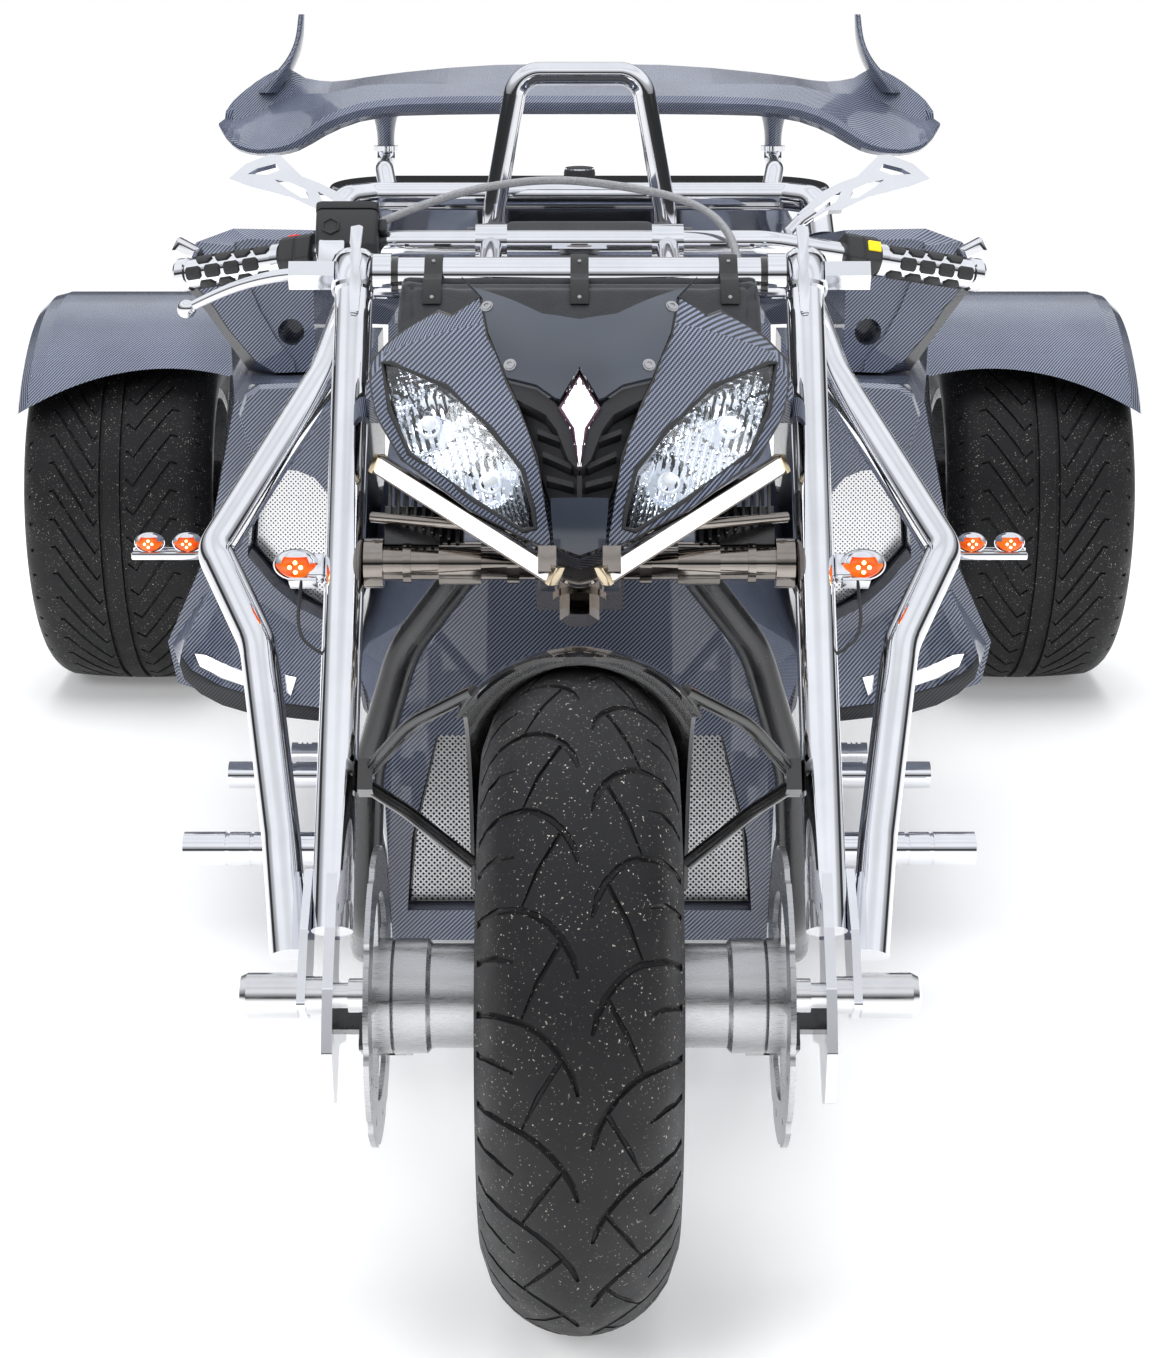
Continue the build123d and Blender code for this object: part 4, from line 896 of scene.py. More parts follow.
def light_bars():
    """White light bars in dark channels below the headlamps, and the diamond lamp in its rim."""
    first, last = (0.206, -0.031, 0.536), (0.027, -0.100, 0.386)
    up = Vector((0, -0.42, 0.9))
    channel, place, half = tray(first, last, height=0.0185, depth=0.013, wall=0.0014, up=up)
    glow = box((-half + 0.0035, -0.0012, -0.0074), (half - 0.0035, 0.006, 0.0074))
    round_edges(glow, 0.0018, 3)
    apply_place(glow, place)
    caps = []
    for end in BOTH_SIDES:
        cap = box((end * half - 0.003, -0.0018, -0.0099), (end * half + 0.003, 0.0135, 0.0099))
        round_edges(cap, 0.001, 2)
        apply_place(cap, place)
        caps.append(cap)
    foot = plate([(0.022, 0.400), (0.040, 0.400), (0.040, 0.416), (0.022, 0.416)], "XZ", -0.1, 0.0757, 0.001)
    lip = plate([(0.022, 0.388), (0.040, 0.388), (0.040, 0.416), (0.022, 0.416)], "XZ", -0.104, 0.006, 0.001)
    upper = dome_sheet([(0, 0.586), (0.0175, 0.555), (0.0052, 0.5345), (-0.0052, 0.5345), (-0.0175, 0.555)],
                       -0.0022, 0.004, 0.003)
    lower = dome_sheet([(0.0052, 0.5345), (0, 0.498), (-0.0052, 0.5345)], -0.0022, 0.004, 0.003)
    rim_points = [(0, 0.588), (0.019, 0.555), (0.0063, 0.534), (0, 0.495), (-0.0063, 0.534), (-0.019, 0.555)]
    rim = dome_line(rim_points, -0.0012, 0.0021)
    base = plate(rim_points, "XZ", -0.128, 0.030, 0.0)
    for vertex in base.data.vertices:
        vertex.co = on_dome(vertex.co.x, vertex.co.z, 0.0015 if vertex.co.y < -0.12 else 0.022)
    lit_parts = finished(mirrored(glow) + [upper, lower], "light_bar_diffusers", "fork", WHITE_LIT)
    finished(mirrored(channel), "light_bar_channels", "fork", DARK_CHROME)
    finished(mirrored(joined(caps)), "light_bar_ends", "fork", BRASS)
    finished(mirrored(foot) + mirrored(lip), "light_bar_feet", "fork", DARK_CHROME)
    finished([rim, base], "diamond_rim", "fork", PLUM)
    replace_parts(lit_parts, "lamp_strips")


def fairing_trim():
    """Socket screws in the screen, and rails and cooling fins behind the light bars."""
    places = []
    screen_face = -0.0062
    for x, s in ((0.092, 0.673), (0.068, 0.601)):
        for side in BOTH_SIDES:
            at = on_dome(side * x, s, screen_face)
            places.append((at, at - DOME_CENTRE))
    screws(places, 0.0052, "screen_screws", "fork")
    rails = pipe([(0.208, -0.012, 0.486), (0.150, -0.036, 0.470), (0.060, -0.060, 0.452)], 0.0055, sides=4)
    finished(mirrored(rails), "lamp_rails", "fork", DARK_CHROME)
    fins = []
    for k in range(9):
        x = 0.120 + 0.0085 * k
        fins.append(box((x, -0.020, 0.455 + 0.0035 * k), (x + 0.0035, 0.016, 0.500 + 0.0035 * k)))
    core = box((0.116, -0.008, 0.458), (0.196, 0.012, 0.500))
    fins = joined(fins + [core])
    round_edges(fins, 0.0008, 1)
    finished(mirrored(fins), "cooling_fins", "fork", ENAMEL)


SCOOP_SIGNALS = (0.516, 0.566)  # across


def signal(scale=1.0):
    """Amber eye-shaped turn signal under a visor, shaped round the origin and facing ahead."""
    lens = ball((0, 0, 0), 1.0, (0.0205 * scale, 0.0115 * scale, 0.0135 * scale), 12)
    for vertex in lens.data.vertices:
        taper = max(0.0, 1 - (vertex.co.x / (0.0206 * scale)) ** 2)
        vertex.co.z *= taper ** 0.3
    hood = ball((0, 0.002 * scale, 0), 1.0, (0.0228 * scale, 0.0150 * scale, 0.0156 * scale), 14)
    with editing(hood):
        choose(hood, "FACE", lambda c, n: c.y < (-0.0085 if c.z > 0.0035 * scale else 0.0015) * scale)
        bpy.ops.mesh.delete(type="FACE")
    modify(hood, "SOLIDIFY", thickness=0.0014 * scale, offset=0)
    dots = [ball((x * scale, -0.0108 * scale, z * scale), 0.0023 * scale, (1, 0.6, 1), 6)
            for x, z in ((0.0055, 0), (-0.0055, 0), (0, 0.0048), (0, -0.0048))]
    return lens, hood, joined(dots)


def turn_signals():
    """Signals on short arms beside the legs, and pairs of smaller ones on bars at the scoops."""
    lens, hood, dots = signal()
    level = Matrix.Rotation(RAKE, 4, "X")
    at = Matrix.Translation((0.283, -0.004, 0.437)) @ level
    base = box((0.2553, -0.006, 0.424), (0.272, 0.012, 0.450))
    round_edges(base, 0.003, 3)
    stalk = rod((0.262, 0.004, 0.437), (0.286, 0.010, 0.437), 0.0072)
    plate_under = box((0.262, -0.010, 0.418), (0.290, 0.012, 0.4215))
    round_edges(plate_under, 0.001)
    for piece in (lens, hood, dots):
        apply_place(piece, at)
    lamps = [finished(mirrored(lens), "fork_signal_lenses", "fork", AMBER_LIT),
             finished(mirrored(hood) + mirrored(base) + mirrored(stalk) + mirrored(plate_under),
                      "fork_signal_housings", "fork", CHROME),
             finished(mirrored(dots), "fork_signal_bulbs", "fork", FILAMENT)]
    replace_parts(lamps[0], "fork_lamps")

    side = [[], [], []]
    for x in SCOOP_SIGNALS:
        for group, piece in zip(side, signal(0.86)):
            apply_place(piece, Matrix.Translation((x, 1.044, 0.5285)))
            group += mirrored(piece)
    bars = box((0.498, 1.040, 0.506), (0.590, 1.060, 0.516))
    round_edges(bars, 0.002, 2)
    lips = plate([(0.498, 0.512), (0.590, 0.512), (0.590, 0.5185), (0.586, 0.5195), (0.502, 0.5195)],
                 "XZ", 1.0592, 0.002)
    pins = joined([rod((x, 1.048, 0.515), (x, 1.048, 0.522), 0.004, 16) for x in SCOOP_SIGNALS])
    lenses = finished(side[0], "side_signal_lenses", "chassis", AMBER_LIT)
    finished(side[1] + mirrored(bars) + mirrored(pins) + mirrored(lips), "side_signal_housings",
             "chassis", CHROME)
    finished(side[2], "side_signal_bulbs", "chassis", FILAMENT)
    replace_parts(lenses, "side_lamps")


headlamps()
light_bars()
fairing_trim()
turn_signals()


# ---------------------------------------------------------------- hose and wires


def soft_line(points, radius, name, body, finish, place):
    """A hose or wire on a smooth curve through its route, kept as a curve."""
    points = [place @ Vector(point) for point in points]
    line = thick_line(points, radius, True, 4, 10)
    line.name = line.data.name = name
    line.data.materials.append(finish)
    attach(line, body)
    return line


def hose_and_wires():
    """Braided brake hose over the bars, and thin wires that loop from the signals into the fork legs."""
    route = [(-0.219, 0.064, 0.866), (-0.168, 0.067, 0.893), (-0.110, 0.072, 0.916), (-0.030, 0.076, 0.930),
             (0.050, 0.076, 0.920), (0.112, 0.058, 0.894), (0.152, 0.038, 0.856), (0.170, 0.029, 0.806),
             (0.173, 0.0242, 0.752)]
    hose = soft_line(route, 0.0045, "braided_brake_hose", "fork", BRAID, FORK)
    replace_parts(hose, "brake_hose")
    for side, label in ((-1, "left"), (1, "right")):
        loop = [(side * 0.279, 0.008, 0.419), (side * 0.2795, 0.006, 0.402), (side * 0.280, -0.002, 0.378),
                (side * 0.272, -0.008, 0.350), (side * 0.2455, -0.004, 0.338)]
        soft_line(loop, 0.0018, f"signal_wire_{label}", "fork", MOULDED, FORK)


# ---------------------------------------------------------------- grips and controls

BAR_BEND, BAR_TIP = Vector((0.200, 0.070, 0.846)), Vector((0.442, 0.167, 0.861))
BAR_END = stand(BAR_TIP, BAR_TIP - BAR_BEND)
TANK_BEHIND = 2.550
SHOULDER_LOW, SHOULDER_FACE, SHOULDER_EDGE = 0.7243, 1.220, 1.250


def wrapped(pad, radius):
    """Bends a flat pad round the grip."""
    with editing(pad):
        for cut in range(-2, 3):
            take_all()
            bpy.ops.mesh.bisect(plane_co=(cut * 0.003, 0, 0), plane_no=(1, 0, 0))
    for vertex in pad.data.vertices:
        turn, out = vertex.co.x / radius, radius + vertex.co.y
        vertex.co = (out * math.sin(turn), out * math.cos(turn), vertex.co.z)
    return round_edges(pad, 0.0009, 2)


def grips():
    """Chrome grips with rows of rounded and six-sided rubber pads."""
    sleeve = turned([(-0.126, 0.0137), (-0.126, 0.0186), (-0.1170, 0.0188), (-0.1155, 0.0160),
                     (-0.0085, 0.0160), (-0.0070, 0.0187), (0.0030, 0.0187), (0.0060, 0.0165),
                     (0.0060, 0.0)], Z)
    finished(mirrored_after(sleeve, BAR_END), "grip_sleeves", "fork", CHROME)
    corner = [(0.0045, 0.0092), (0.0068, 0.0074)]
    square = [(sx * x, sz * z) for sx, sz, turn in ((1, 1, 1), (1, -1, -1), (-1, -1, 1), (-1, 1, -1))
              for x, z in corner[::turn]]
    long_hex = [(0, 0.0105), (0.0062, 0.0062), (0.0062, -0.0062), (0, -0.0105), (-0.0062, -0.0062),
                (-0.0062, 0.0062)]
    pads = []
    for row in range(6):
        pad = wrapped(plate(long_hex if row % 2 else square, "XZ", 0, 0.0025), 0.0158)
        turn = Matrix.Rotation(math.radians(60 * row), 4, "Z")
        start_at = -0.020 - (0.012 if row % 2 else 0)
        pads += copies(pad, [turn @ Matrix.Translation((0, 0, start_at - 0.024 * k)) for k in range(4)])
    pads = finished(mirrored_after(joined(pads), BAR_END), "grip_pads", "fork", RUBBER)
    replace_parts(pads, "controls")


def switches():
    """Chamfered switch housings with a red switch on one and a yellow one on the other."""
    shape = [(0.013, 0.0205), (0.0205, 0.013), (0.0205, -0.013), (0.013, -0.020), (-0.013, -0.020),
             (-0.0205, -0.013), (-0.0205, 0.013), (-0.013, 0.0205)]
    halves = [plate(shape, "XY", low, 0.0192, 0.0022, 3) for low in (-0.168, -0.1478)]
    core = plate([(x * 0.94, y * 0.94) for x, y in shape], "XY", -0.165, 0.034)
    lobe = ball((0.002, 0.018, -0.156), 1.0, (0.013, 0.008, 0.010), 10)
    finished(mirrored_after(joined(halves + [core, lobe]), BAR_END), "switch_housings", "fork", MOULDED)
    red = box((-0.007, 0.019, -0.1445), (0.005, 0.0258, -0.1315))
    round_edges(red, 0.0014, 3)
    apply_place(red, Matrix.Scale(-1, 4, X) @ BAR_END)
    with editing(red):
        face_outwards()
    finished(red, "red_switch", "fork", RED_SWITCH_PAINTED_GLOW)
    yellow = box((-0.0225, -0.002, -0.1445), (-0.0170, 0.010, -0.1290))
    round_edges(yellow, 0.0012, 3)
    apply_place(yellow, BAR_END)
    finished(yellow, "yellow_switch", "fork", YELLOW_SWITCH_PAINTED_GLOW)


def reservoir_and_lever():
    """Brake fluid reservoir with its lid and round sight cap, and the ball-ended lever on its pivot."""
    tank = box((-0.2835, 0.0405, 0.828), (-0.2165, 0.0995, 0.8705))
    with editing(tank):
        choose(tank, "EDGE", lambda c, d: abs(d.z) > 0.9)
        bpy.ops.mesh.bevel(offset=0.008, segments=4)
    round_edges(tank, 0.0015, 2)
    lid = box((-0.284, 0.040, 0.8715), (-0.216, 0.100, 0.880))
    with editing(lid):
        choose(lid, "EDGE", lambda c, d: abs(d.z) > 0.9)
        bpy.ops.mesh.bevel(offset=0.008, segments=4)
        choose(lid, "FACE", lambda c, n: n.z > 0.9)
        bpy.ops.mesh.inset(thickness=0.005)
        push((0, 0, -0.0012))
    round_edges(lid, 0.002, 3)
    socket = box((-0.2165, 0.052, 0.851), (-0.2080, 0.068, 0.865))
    round_edges(socket, 0.0012, 2)
    clasp = box((-0.256, 0.086, 0.838), (-0.236, 0.1010, 0.864))
    round_edges(clasp, 0.002, 2)
    sight = turned([(0.0, 0.0), (0.0004, 0.0062), (0.0004, 0.0078), (0.0024, 0.0084), (0.0024, 0.0104),
                    (-0.001, 0.0108)], Z, (0, 0, 0), 6)
    apply_place(sight, stand((-0.2665, 0.0405, 0.849), -Y))
    round_edges(sight, 0.0004, 2)
    finished([tank, lid, socket, clasp, sight], "brake_reservoir", "fork", MOULDED)
    screws([((x, 0.070, 0.8785), Z) for x in (-0.272, -0.228)], 0.0026, "reservoir_screws", "fork")
    pivot = box((-0.278, 0.030, 0.785), (-0.250, 0.0535, 0.831))
    with editing(pivot):
        choose(pivot, "EDGE", lambda c, d: abs(d.x) > 0.9 and c.y < 0.04)
        bpy.ops.mesh.bevel(offset=0.009, segments=4)
    round_edges(pivot, 0.002, 3)
    knuckle = ball((-0.290, 0.0325, 0.788), 0.0095, (1.3, 0.9, 0.85), 12)
    pin = rod((-0.290, 0.0325, 0.778), (-0.290, 0.0325, 0.798), 0.0048)
    round_edges(pin, 0.0008, 2)
    tip = (-0.419, 0.060, 0.760)
    blade = pipe([(-0.268, 0.041, 0.791), (-0.300, 0.0305, 0.787), (-0.345, 0.034, 0.780),
                  (-0.385, 0.046, 0.771), tip], 0.0064, widths=[1.1, 1.15, 1.0, 0.9, 0.82])
    end = ball(tip, 0.0102, rings=14)
    finished([pivot, knuckle, pin, blade, end], "brake_lever", "fork", CHROME)


# ---------------------------------------------------------------- fittings at the top of the fork

LEG_ACROSS = 0.235
TOP_BAR_ALONG = 0.767
STRAP_RADIUS = 0.0207

def top_fittings():
    """Clamps and notched brackets at the leg tops, dark rings on the top bar, and strapped bag loops."""
    clamp = turned([(0.746, 0.0198), (0.746, 0.0232), (0.750, 0.0243), (0.7535, 0.0226), (0.7775, 0.0226),
                    (0.781, 0.0243), (0.785, 0.0232), (0.785, 0.0198)], Z, (LEG_ACROSS, 0, 0))
    ear = plate([(0.2255, 0.811), (0.2295, 0.813), (0.2385, 0.811), (0.2390, 0.792), (0.2370, 0.784),
                 (0.2390, 0.776), (0.2370, 0.762), (0.2385, 0.745), (0.2365, 0.711), (0.2275, 0.711),
                 (0.2255, 0.745), (0.2275, 0.762), (0.2255, 0.776), (0.2275, 0.784)],
                "XZ", -0.0252, 0.0055, 0.0008)
    finished(mirrored(clamp) + mirrored(ear), "leg_top_clamps", "fork", CHROME)
    rings = [turned([(a, 0.0186), (a, 0.0198), (b, 0.0198), (b, 0.0186)], X, (0, 0, TOP_BAR_ALONG))
             for a, b in ((0.1885, 0.1958), (0.2149, 0.2172))]
    finished(mirrored(joined(rings)), "top_bar_dark_rings", "fork", GLOSS)
    turns = [math.radians(degrees) for degrees in range(-60, 200, 20)]
    path = [(STRAP_RADIUS * math.cos(t), TOP_BAR_ALONG + STRAP_RADIUS * math.sin(t)) for t in turns]
    path += [(-0.0225, 0.7555), (-0.029, 0.7475), (-0.0365, 0.741), (-0.0385, 0.732), (-0.0385, 0.712)]
    straps, studs = [], []
    for x in (-0.1515, 0.0, 0.1545):
        straps.append(flat_band(path, 0.0024, x, 0.019))
        studs += [((x, -0.0216, 0.772), (0, -1, 0.2)), ((x, -0.0396, 0.720), (0, -1, 0))]
    finished(straps, "bag_straps", "fork", RUBBER)
    screws(studs, 0.0016, "strap_studs", "fork")


def yoke_disc():
    """Dark disc on the front of the lower yoke."""
    disc = turned([(0.0, 0.0), (0.0, 0.024), (0.002, 0.026), (0.005, 0.026), (0.006, 0.022)], Y,
                  (0, -0.034, 0.428), 40)
    finished(disc, "yoke_disc", "fork", DARK_CHROME)


# ---------------------------------------------------------------- padded bag and seats

PRESSURE = 4.0
LAST_FRAME = 20
ROW_PITCH = 0.062
BAG_HALF, BAG_ALONG = 0.174, 0.698
FAR = 9.0  # a distance at which a seam has no effect

def swollen(piece, cap):
    """Blows a closed mesh up like a stuffed pad, and keeps each point near where it was."""
    before = [v.co.copy() for v in piece.data.vertices]
    alone(piece)
    cloth = piece.modifiers.new("stuffing", "CLOTH")
    cloth.settings.use_pressure = True
    cloth.settings.uniform_pressure_force = PRESSURE
    cloth.settings.effector_weights.gravity = 0.0
    cloth.settings.quality = 5
    scene = bpy.context.scene
    for number in range(1, LAST_FRAME + 1):
        scene.frame_set(number)
    shaped = piece.evaluated_get(bpy.context.evaluated_depsgraph_get())
    after = [v.co.copy() for v in shaped.data.vertices]
    piece.modifiers.remove(cloth)
    scene.frame_set(1)
    for vertex, old, new in zip(piece.data.vertices, before, after):
        move = new - old
        vertex.co = old + move * min(1.0, cap / max(move.length, 1e-9))


def stuffed(node, name, body, inset, voxel, seams, place, smooth):
    """A padded piece that fills a soft solid, with (distance, width, depth) seams pressed into it."""
    deselect()
    piece = bpy.data.objects.new(name, frame["nodes"][node].data.copy())
    bpy.context.scene.collection.objects.link(piece)
    with editing(piece):
        face_outwards(merge=1e-5)
    modify(piece, "REMESH", mode="VOXEL", voxel_size=voxel)
    modify(piece, "DISPLACE", strength=-inset, mid_level=0.0)
    modify(piece, "SMOOTH", factor=0.5, iterations=smooth)
    swollen(piece, inset * 1.2)
    subdivide(piece, 1)
    back = place.inverted()
    facing = [vertex.normal.copy() for vertex in piece.data.vertices]
    for vertex, out in zip(piece.data.vertices, facing):
        local = back @ vertex.co
        vertex.co -= out * sum(deep * math.exp(-(away(local) / width) ** 2) for away, width, deep in seams)
    finished(piece, name, body, LEATHER, Matrix(), 60)
    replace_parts(piece, node)
    return piece


def side_seams(half):
    """Distance to the two seams that run along a seat."""
    return lambda p: abs(abs(p.x) - half)


def sewn_rows(half, first, knee_behind, knee_up):
    """Distance to the nearest row sewn across a seat, counted along its cushion and then up its back."""
    def away(p):
        if abs(p.x) > half:
            return FAR
        run = p.y if p.z < knee_up else knee_behind + (p.z - knee_up)
        return abs((run - first + 0.03) % ROW_PITCH - ROW_PITCH / 2)
    return away


def bag_ends(p):
    """Distance past the seam near each end of the bag."""
    return abs(abs(p.x) - BAG_HALF) if abs(p.z - BAG_ALONG) < 0.040 else FAR


def bag_edges(p):
    """Distance to the seams along the bag's upper and lower edges."""
    return abs(abs(p.z - BAG_ALONG) - 0.037) if abs(p.x) < BAG_HALF else FAR


def pads():
    """Bag under the top bar, and the two stitched seats."""
    stuffed("fork_bag", "stuffed_fork_bag", "fork", inset=0.003, voxel=0.0055, place=FORK, smooth=3,
            seams=[(bag_ends, 0.003, 0.0022), (bag_edges, 0.003, 0.0022)])
    for seat, half, rows in (("driver_seat", 0.118, (1.22, 1.59, 0.672)),
                             ("passenger_seat", 0.125, (1.80, 2.10, 0.80))):
        stuffed(seat, f"stitched_{seat}", "chassis", inset=0.006, voxel=0.009, place=AXLE, smooth=4,
                seams=[(side_seams(half), 0.005, 0.004), (sewn_rows(half, *rows), 0.005, 0.0035)])


# ---------------------------------------------------------------- mesh, strips, lamps and caps on the body

NOSE_FACE, POD_FACE = 0.5267, 1.0567
MESH_BEHIND, BACK_BEHIND = 0.0008, 0.0018
TAIL_LAMPS = (0.330, 0.410)  # across
TAIL_LAMP_UP = 0.644
CAP_RIBS, TANK_AXIS_UP = 36, 0.705

def lattice(points, cell, bar, at, thick):
    """Expanded metal: a flat sheet of diamond openings inside a convex outline, upright at y = at."""
    piece = clipped_grid(points, cell)
    with editing(piece):
        take_all()
        bpy.ops.mesh.poke()
        take_all()
        bpy.ops.mesh.tris_convert_to_quads(face_threshold=math.radians(180), shape_threshold=math.radians(60))
        take_all()
        bpy.ops.mesh.inset(thickness=bar, depth=0, use_individual=True)
        bpy.ops.mesh.delete(type="FACE")
        face_outwards()
    modify(piece, "SOLIDIFY", thickness=thick, offset=0)
    apply_place(piece, Matrix.Translation((0, at, 0)))
    return piece


def mesh_work():
    """Expanded-metal panels in the nose and in the pods, with dark backs and black edges."""
    nose = [(0.104, 0.214), (0.196, 0.214), (0.190, 0.300), (0.160, 0.422), (0.108, 0.422)]
    pod = [(0.322, 0.620), (0.344, 0.634), (0.364, 0.641), (0.398, 0.644), (0.422, 0.610), (0.430, 0.522),
           (0.396, 0.480), (0.365, 0.453), (0.322, 0.430)]
    backs, edges = [], []
    for points, at in ((nose, NOSE_FACE), (pod, POD_FACE)):
        backs.append(plate(shrunk(points, 0.001), "XZ", at + BACK_BEHIND, 0.0012))
        rim = [(x, at + MESH_BEHIND, z) for x, z in shrunk(points, 0.0025)]
        edges.append(pipe(rim, 0.0025, smooth=False, sides=2, cyclic=True))
    sheet = lattice(shrunk(nose, 0.002), cell=0.0065, bar=0.0009, at=NOSE_FACE + MESH_BEHIND, thick=0.0012)
    first = finished(mirrored(sheet), "nose_mesh", "chassis", STEEL)
    sheet = lattice(shrunk(pod, 0.002), cell=0.0062, bar=0.00125, at=POD_FACE + MESH_BEHIND, thick=0.0012)
    finished(mirrored(sheet), "pod_mesh", "chassis", ALLOY)
    finished(mirrored(joined(backs)), "mesh_backs", "chassis", MOULDED)
    finished(mirrored(joined(edges)), "mesh_edges", "chassis", GLOSS)
    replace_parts(first, "mesh_panels")


def tail_details():
    """Carbon tail panel with round red lamps in chrome rims, and the ribbed black tank cap."""
    points = [(-0.470, 0.600), (-0.200, 0.590), (-0.190, 0.505), (0.190, 0.505), (0.200, 0.590),
              (0.470, 0.600), (0.440, 0.690), (-0.440, 0.690)]
    panel = plate(points, "XZ", 2.8503, 0.0057, 0.0015)
    lenses, rims = [], []
    lens = [(2.856, 0.0235), (2.862, 0.0225), (2.866, 0.016), (2.868, 0.008), (2.8685, 0.0)]
    rim = [(2.855, 0.0225), (2.855, 0.0262), (2.863, 0.0262), (2.8645, 0.0245), (2.8630, 0.0232)]
    for x in TAIL_LAMPS:
        lenses.append(turned(lens, Y, (x, 0, TAIL_LAMP_UP), 40))
        rims.append(turned(rim, Y, (x, 0, TAIL_LAMP_UP), 40))
    finished(panel, "tail_panel", "chassis", CARBON)
    lamps = finished(mirrored(joined(lenses)), "tail_lamp_lenses", "chassis", RED_LENS)
    finished(mirrored(joined(rims)), "tail_lamp_rims", "chassis", CHROME)
    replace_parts(lamps, "tail_lamps")
    spots = ((0.16, 0.53), (0.16, 0.675), (0.40, 0.676))
    screws([((side * x, 2.856, z), Y) for side in BOTH_SIDES for x, z in spots], 0.004, "tail_panel_screws",
           "chassis")
    cap = turned([(0.895, 0.0264), (0.896, 0.0285), (0.899, 0.0290), (0.915, 0.0290), (0.921, 0.0275),
                  (0.9245, 0.0230), (0.9258, 0.0120), (0.9262, 0.0)], Z, steps=CAP_RIBS)
    for vertex in cap.data.vertices:
        turn = math.atan2(vertex.co.y, vertex.co.x)
        if vertex.co.xy.length > 0.027:
            vertex.co.xy *= 1 - 0.025 * (round(turn / (2 * math.pi / CAP_RIBS)) % 2)
    tilt = Matrix.Translation((0, TANK_BEHIND, TANK_AXIS_UP)) @ Matrix.Rotation(math.radians(4), 4, "X")
    finished(cap, "tank_cap", "chassis", MOULDED,
             AXLE @ tilt @ Matrix.Translation((0, 0, -TANK_AXIS_UP)))


def patch(points, out, thick, bevel=0.0):
    """A raised patch whose corners are given in space, lying on a surface that faces out."""
    piece = start("circle", vertices=len(points), radius=1, fill_type="NGON")
    for vertex, point in zip(piece.data.vertices, points):
        vertex.co = point
    out = Vector(out).normalized()
    with editing(piece):
        take_all()
        push(out * thick)
        face_outwards()
    if bevel:
        round_edges(piece, bevel, 2, 50)
    return piece


def pod_lamps():
    """Long white lamp strips in bright frames on the pods' lips, and their short inner pieces."""
    out = (0.24, -0.83, 0.50)
    strip = [(0.4945, 0.9290, 0.4070), (0.4805, 0.9341, 0.4042), (0.4604, 0.9347, 0.3935),
             (0.4234, 0.9336, 0.3764), (0.4228, 0.9246, 0.3628), (0.4597, 0.9250, 0.3760),
             (0.4873, 0.9246, 0.3908)]
    inner = [(0.3800, 0.9433, 0.3745), (0.3655, 0.9440, 0.3715), (0.3718, 0.9269, 0.3515),
             (0.3765, 0.9290, 0.3560)]
    lights = [patch([Vector(p) for p in points], out, 0.0028, 0.0006) for points in (strip, inner)]
    lift = Vector(out) * 0.0012
    frames = [pipe([Vector(p) + lift for p in points], 0.0017, smooth=False, sides=3, cyclic=True)
              for points in (strip, inner)]
    finished(mirrored(joined(lights)), "pod_lamp_strips", "chassis", WHITE_LIT)
    finished(mirrored(joined(frames)), "pod_lamp_frames", "chassis", CHROME)


def shoulder_lamps():
    """Small bright marker lamps on black joints at the outer top corners of the shoulders."""
    lamp = box((-0.0165, -0.010, -0.0110), (0.0165, 0.010, 0.0110))
    with editing(lamp):
        choose(lamp, "FACE", lambda c, n: n.y < -0.9)
        bpy.ops.mesh.inset(thickness=0.004, depth=0.003)
    round_edges(lamp, 0.0030, 3, 20)
    apply_place(lamp, Matrix.Translation((0.531, 1.232, 0.893)) @ Matrix.Rotation(math.radians(-28), 4, "Y"))
    bead = ball((0.5345, 1.231, 0.8665), 0.0080, rings=12)
    joint = pipe([(0.524, 1.236, 0.893), (0.517, 1.240, 0.885), (0.522, 1.239, 0.872),
                  (0.532, 1.236, 0.866)], 0.0052)
    collar = ball((0.5165, 1.238, 0.885), 0.0085, rings=10)
    finished(mirrored(joined([lamp, bead])), "shoulder_marker_lamps", "chassis", CHROME)
    finished(mirrored(joined([joint, collar])), "shoulder_lamp_joints", "chassis", MOULDED)


def dark_bands():
    """Dark woven bands on the lips of the pods and down the bevelled outer rims of the shoulders."""
    lip = [(0.304, 0.3335), (0.376, 0.3435), (0.423, 0.3555), (0.459, 0.3665), (0.497, 0.3875),
           (0.5105, 0.407), (0.5125, 0.396), (0.5075, 0.3765), (0.487, 0.3565), (0.460, 0.3415),
           (0.424, 0.3305), (0.304, 0.3165)]
    band = plate(lip, "XZ", 0.9186, 0.0016, 0.0004)
    inner = [(0.414, 0.728), (0.441, 0.745), (0.475, 0.787), (0.494, 0.818), (0.521, 0.850), (0.519, 0.868)]
    outer = [(0.430, SHOULDER_LOW), (0.453, SHOULDER_LOW + 0.003), (0.503, 0.800), (0.526, 0.832),
             (0.550, 0.848), (0.549, 0.868)]
    quads = []
    for k in range(1, 5):
        corners = [(*inner[k], SHOULDER_FACE), (*inner[k + 1], SHOULDER_FACE), (*outer[k + 1], SHOULDER_EDGE),
                   (*outer[k], SHOULDER_EDGE)]
        points = [Vector((x, y, z)) for x, z, y in corners]
        out = (points[1] - points[0]).cross(points[3] - points[0]).normalized()
        if out.y > 0:
            out = -out
        quads.append(patch(points, out, 0.0012))
    finished(mirrored(joined([band] + quads)), "dark_woven_bands", "chassis", DARK_CARBON)


def edge_lines():
    """Black sealing strips round the fairing cheeks."""
    cheek = [(71, 586), (91, 641), (100, 691), (128, 673), (142, 683), (187, 665), (209, 646),
             (212, 629), (204, 581), (176, 527), (105, 465), (42, 431), (27, 426), (42, 509), (64, 570)]
    line = dome_line([(x / 1000, s / 1000) for x, s in cheek], 0.0004, 0.0016)
    finished(mirrored(line), "cheek_edges", "fork", GLOSS)


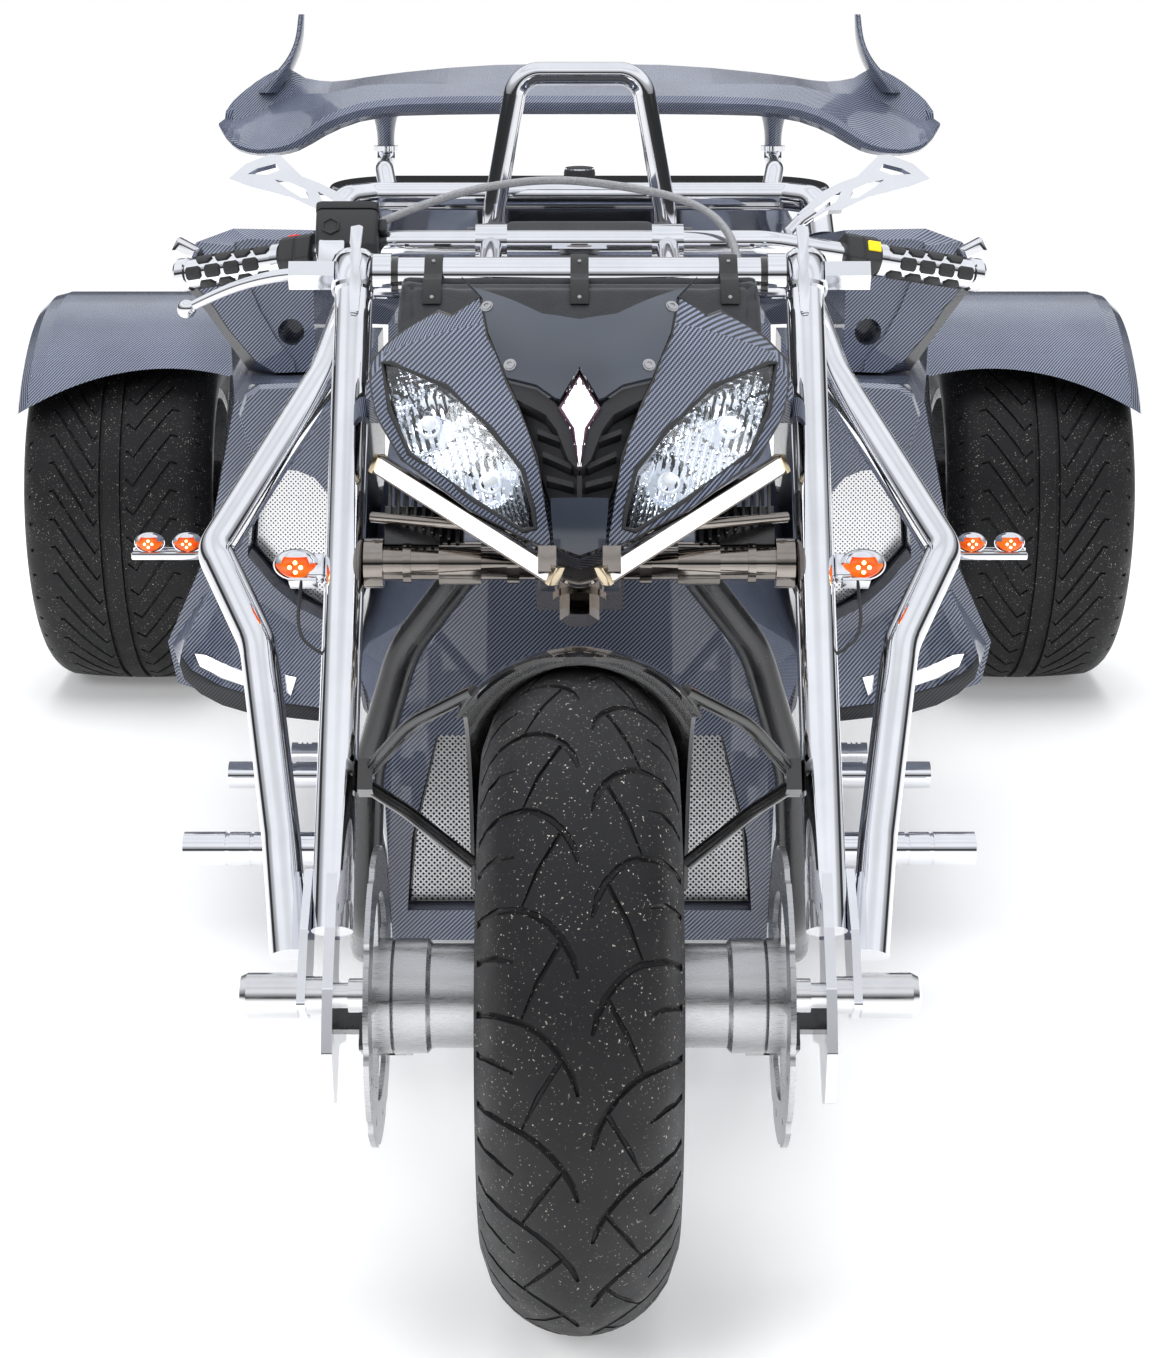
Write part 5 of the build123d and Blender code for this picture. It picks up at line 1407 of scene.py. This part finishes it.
def disc_bolts():
    """Bolt heads in a ring on each brake disc."""
    count, ring, disc_face = 5, 0.088, 0.1925
    places = []
    for side in BOTH_SIDES:
        for k in range(count):
            turn = 2 * math.pi * k / count
            places.append(((side * disc_face, ring * math.sin(turn), ring * math.cos(turn)), (side, 0, 0)))
    screws(places, 0.0058, "disc_bolts", "front_wheel")


hose_and_wires()
grips()
switches()
reservoir_and_lever()
top_fittings()
yoke_disc()
pads()
mesh_work()
tail_details()
pod_lamps()
shoulder_lamps()
dark_bands()
edge_lines()
disc_bolts()


# ---------------------------------------------------------------- studio

CAMERA_AHEAD = 2.244
CAMERA_HEIGHT = 1.212
CAMERA_DOWN = math.radians(14.8)
LENS_MM = 67.57


def backdrop():
    """Soft even light, a white view for the camera, and a banded room for reflections."""
    world = bpy.context.scene.world or bpy.data.worlds.new("studio")
    bpy.context.scene.world = world
    world.use_nodes = True
    tree = world.node_tree
    tree.nodes.clear()
    out, mix, path, dim, white, aim, split, bands, room = [tree.nodes.new(f"ShaderNode{kind}") for kind in (
        "OutputWorld", "MixShader", "LightPath", "Background", "Background", "TexCoord", "SeparateXYZ",
        "ValToRGB", "Mix")]
    shown, glossy = [tree.nodes.new("ShaderNodeMath") for _ in range(2)]
    shown.operation = glossy.operation = "MAXIMUM"
    room.data_type = "RGBA"
    room.inputs[7].default_value = (1, 1, 1, 1)
    dim.inputs["Color"].default_value = (0.9, 0.94, 1.0, 1)
    dim.inputs["Strength"].default_value = 0.45
    white.inputs["Strength"].default_value = 1.0
    # Mirror-like pieces see the pale backdrop low down, dark walls above it, then a bright ceiling panel.
    bands.color_ramp.elements[0].color = (0.9, 0.92, 0.95, 1)
    bands.color_ramp.elements[1].color = (0.9, 0.93, 0.98, 1)
    for position, grey in ((0.03, 0.8), (0.07, 0.05), (0.24, 0.03), (0.30, 0.34), (0.44, 0.5), (0.56, 0.98),
                           (0.76, 1.0), (0.85, 0.78), (0.93, 1.0)):
        element = bands.color_ramp.elements.new(position)
        element.color = (grey, grey * 1.02, grey * 1.06, 1)
    for source, target in (
        (aim.outputs["Generated"], split.inputs[0]), (split.outputs[2], bands.inputs[0]),
        (path.outputs["Is Camera Ray"], room.inputs[0]), (bands.outputs[0], room.inputs[6]),
        (room.outputs[2], white.inputs["Color"]), (path.outputs["Is Camera Ray"], shown.inputs[0]),
        (path.outputs["Is Glossy Ray"], glossy.inputs[0]),
        (path.outputs["Is Transmission Ray"], glossy.inputs[1]), (glossy.outputs[0], shown.inputs[1]),
        (shown.outputs[0], mix.inputs[0]), (dim.outputs[0], mix.inputs[1]), (white.outputs[0], mix.inputs[2]),
        (mix.outputs[0], out.inputs["Surface"]),
    ):
        tree.links.new(source, target)


def studio():
    """Camera, pale floor, four softboxes and the backdrop."""
    bpy.ops.object.camera_add(location=(0, WHEEL.y - CAMERA_AHEAD, CAMERA_HEIGHT),
                              rotation=(math.pi / 2 - CAMERA_DOWN, 0, 0))
    camera = bpy.context.object
    camera.name = "camera"
    camera.data.lens = LENS_MM
    camera.data.sensor_width = 36
    bpy.context.scene.camera = camera

    floor = start("plane", size=60, location=(0, 0, 0))
    floor.name = "studio floor"
    paint = Finish("pale studio floor", Roughness=0.7)
    path = paint.node("ShaderNodeLightPath").outputs
    seen = paint.maths("MAXIMUM", path["Is Camera Ray"],
                       paint.maths("MAXIMUM", path["Is Glossy Ray"], path["Is Transmission Ray"]))
    x, y, z = paint.axes()
    square = paint.maths("ADD", paint.maths("MULTIPLY", x, x), paint.maths("MULTIPLY", y, y))
    away = paint.maths("SQRT", square)
    far = paint.ramp(away, 2.2, 5.0)
    pale = paint.blend(paint.noise(3.0), (0.86, 0.86, 0.86), (0.88, 0.88, 0.88))
    paint.colour(paint.blend(far, pale, (0, 0, 0)))
    glow = paint.maths("MULTIPLY", seen, paint.ramp(far, 0.0, 1.0, 0.2, 1.0))
    paint.put(paint.shader, {"Emission Color": (1, 1, 1), "Emission Strength": glow})
    floor.data.materials.append(paint.material)

    lights = [  # name, place, aimed at, width, height, watts
        ("key softbox", (-3.2, -4.6, 3.6), (0, -0.6, 0.5), 3.2, 2.2, 210),
        ("fill softbox", (3.8, -3.6, 2.4), (0, -0.6, 0.5), 2.6, 2.6, 110),
        ("top softbox", (0, 0.4, 4.4), (0, 0.2, 0), 4.5, 4.5, 230),
        ("rear softbox", (0, 5.2, 2.6), (0, 1.0, 0.5), 3.5, 2.0, 110),
    ]
    for name, place, target, width, height, watts in lights:
        bpy.ops.object.light_add(type="AREA", location=place)
        lamp = bpy.context.object
        lamp.name = name
        lamp.rotation_euler = (Vector(target) - Vector(place)).to_track_quat("-Z", "Y").to_euler()
        lamp.data.shape = "RECTANGLE"
        lamp.data.size, lamp.data.size_y, lamp.data.energy = width, height, watts
        lamp.visible_glossy = False

    backdrop()
    bpy.context.scene.view_settings.view_transform = "Standard"


studio()
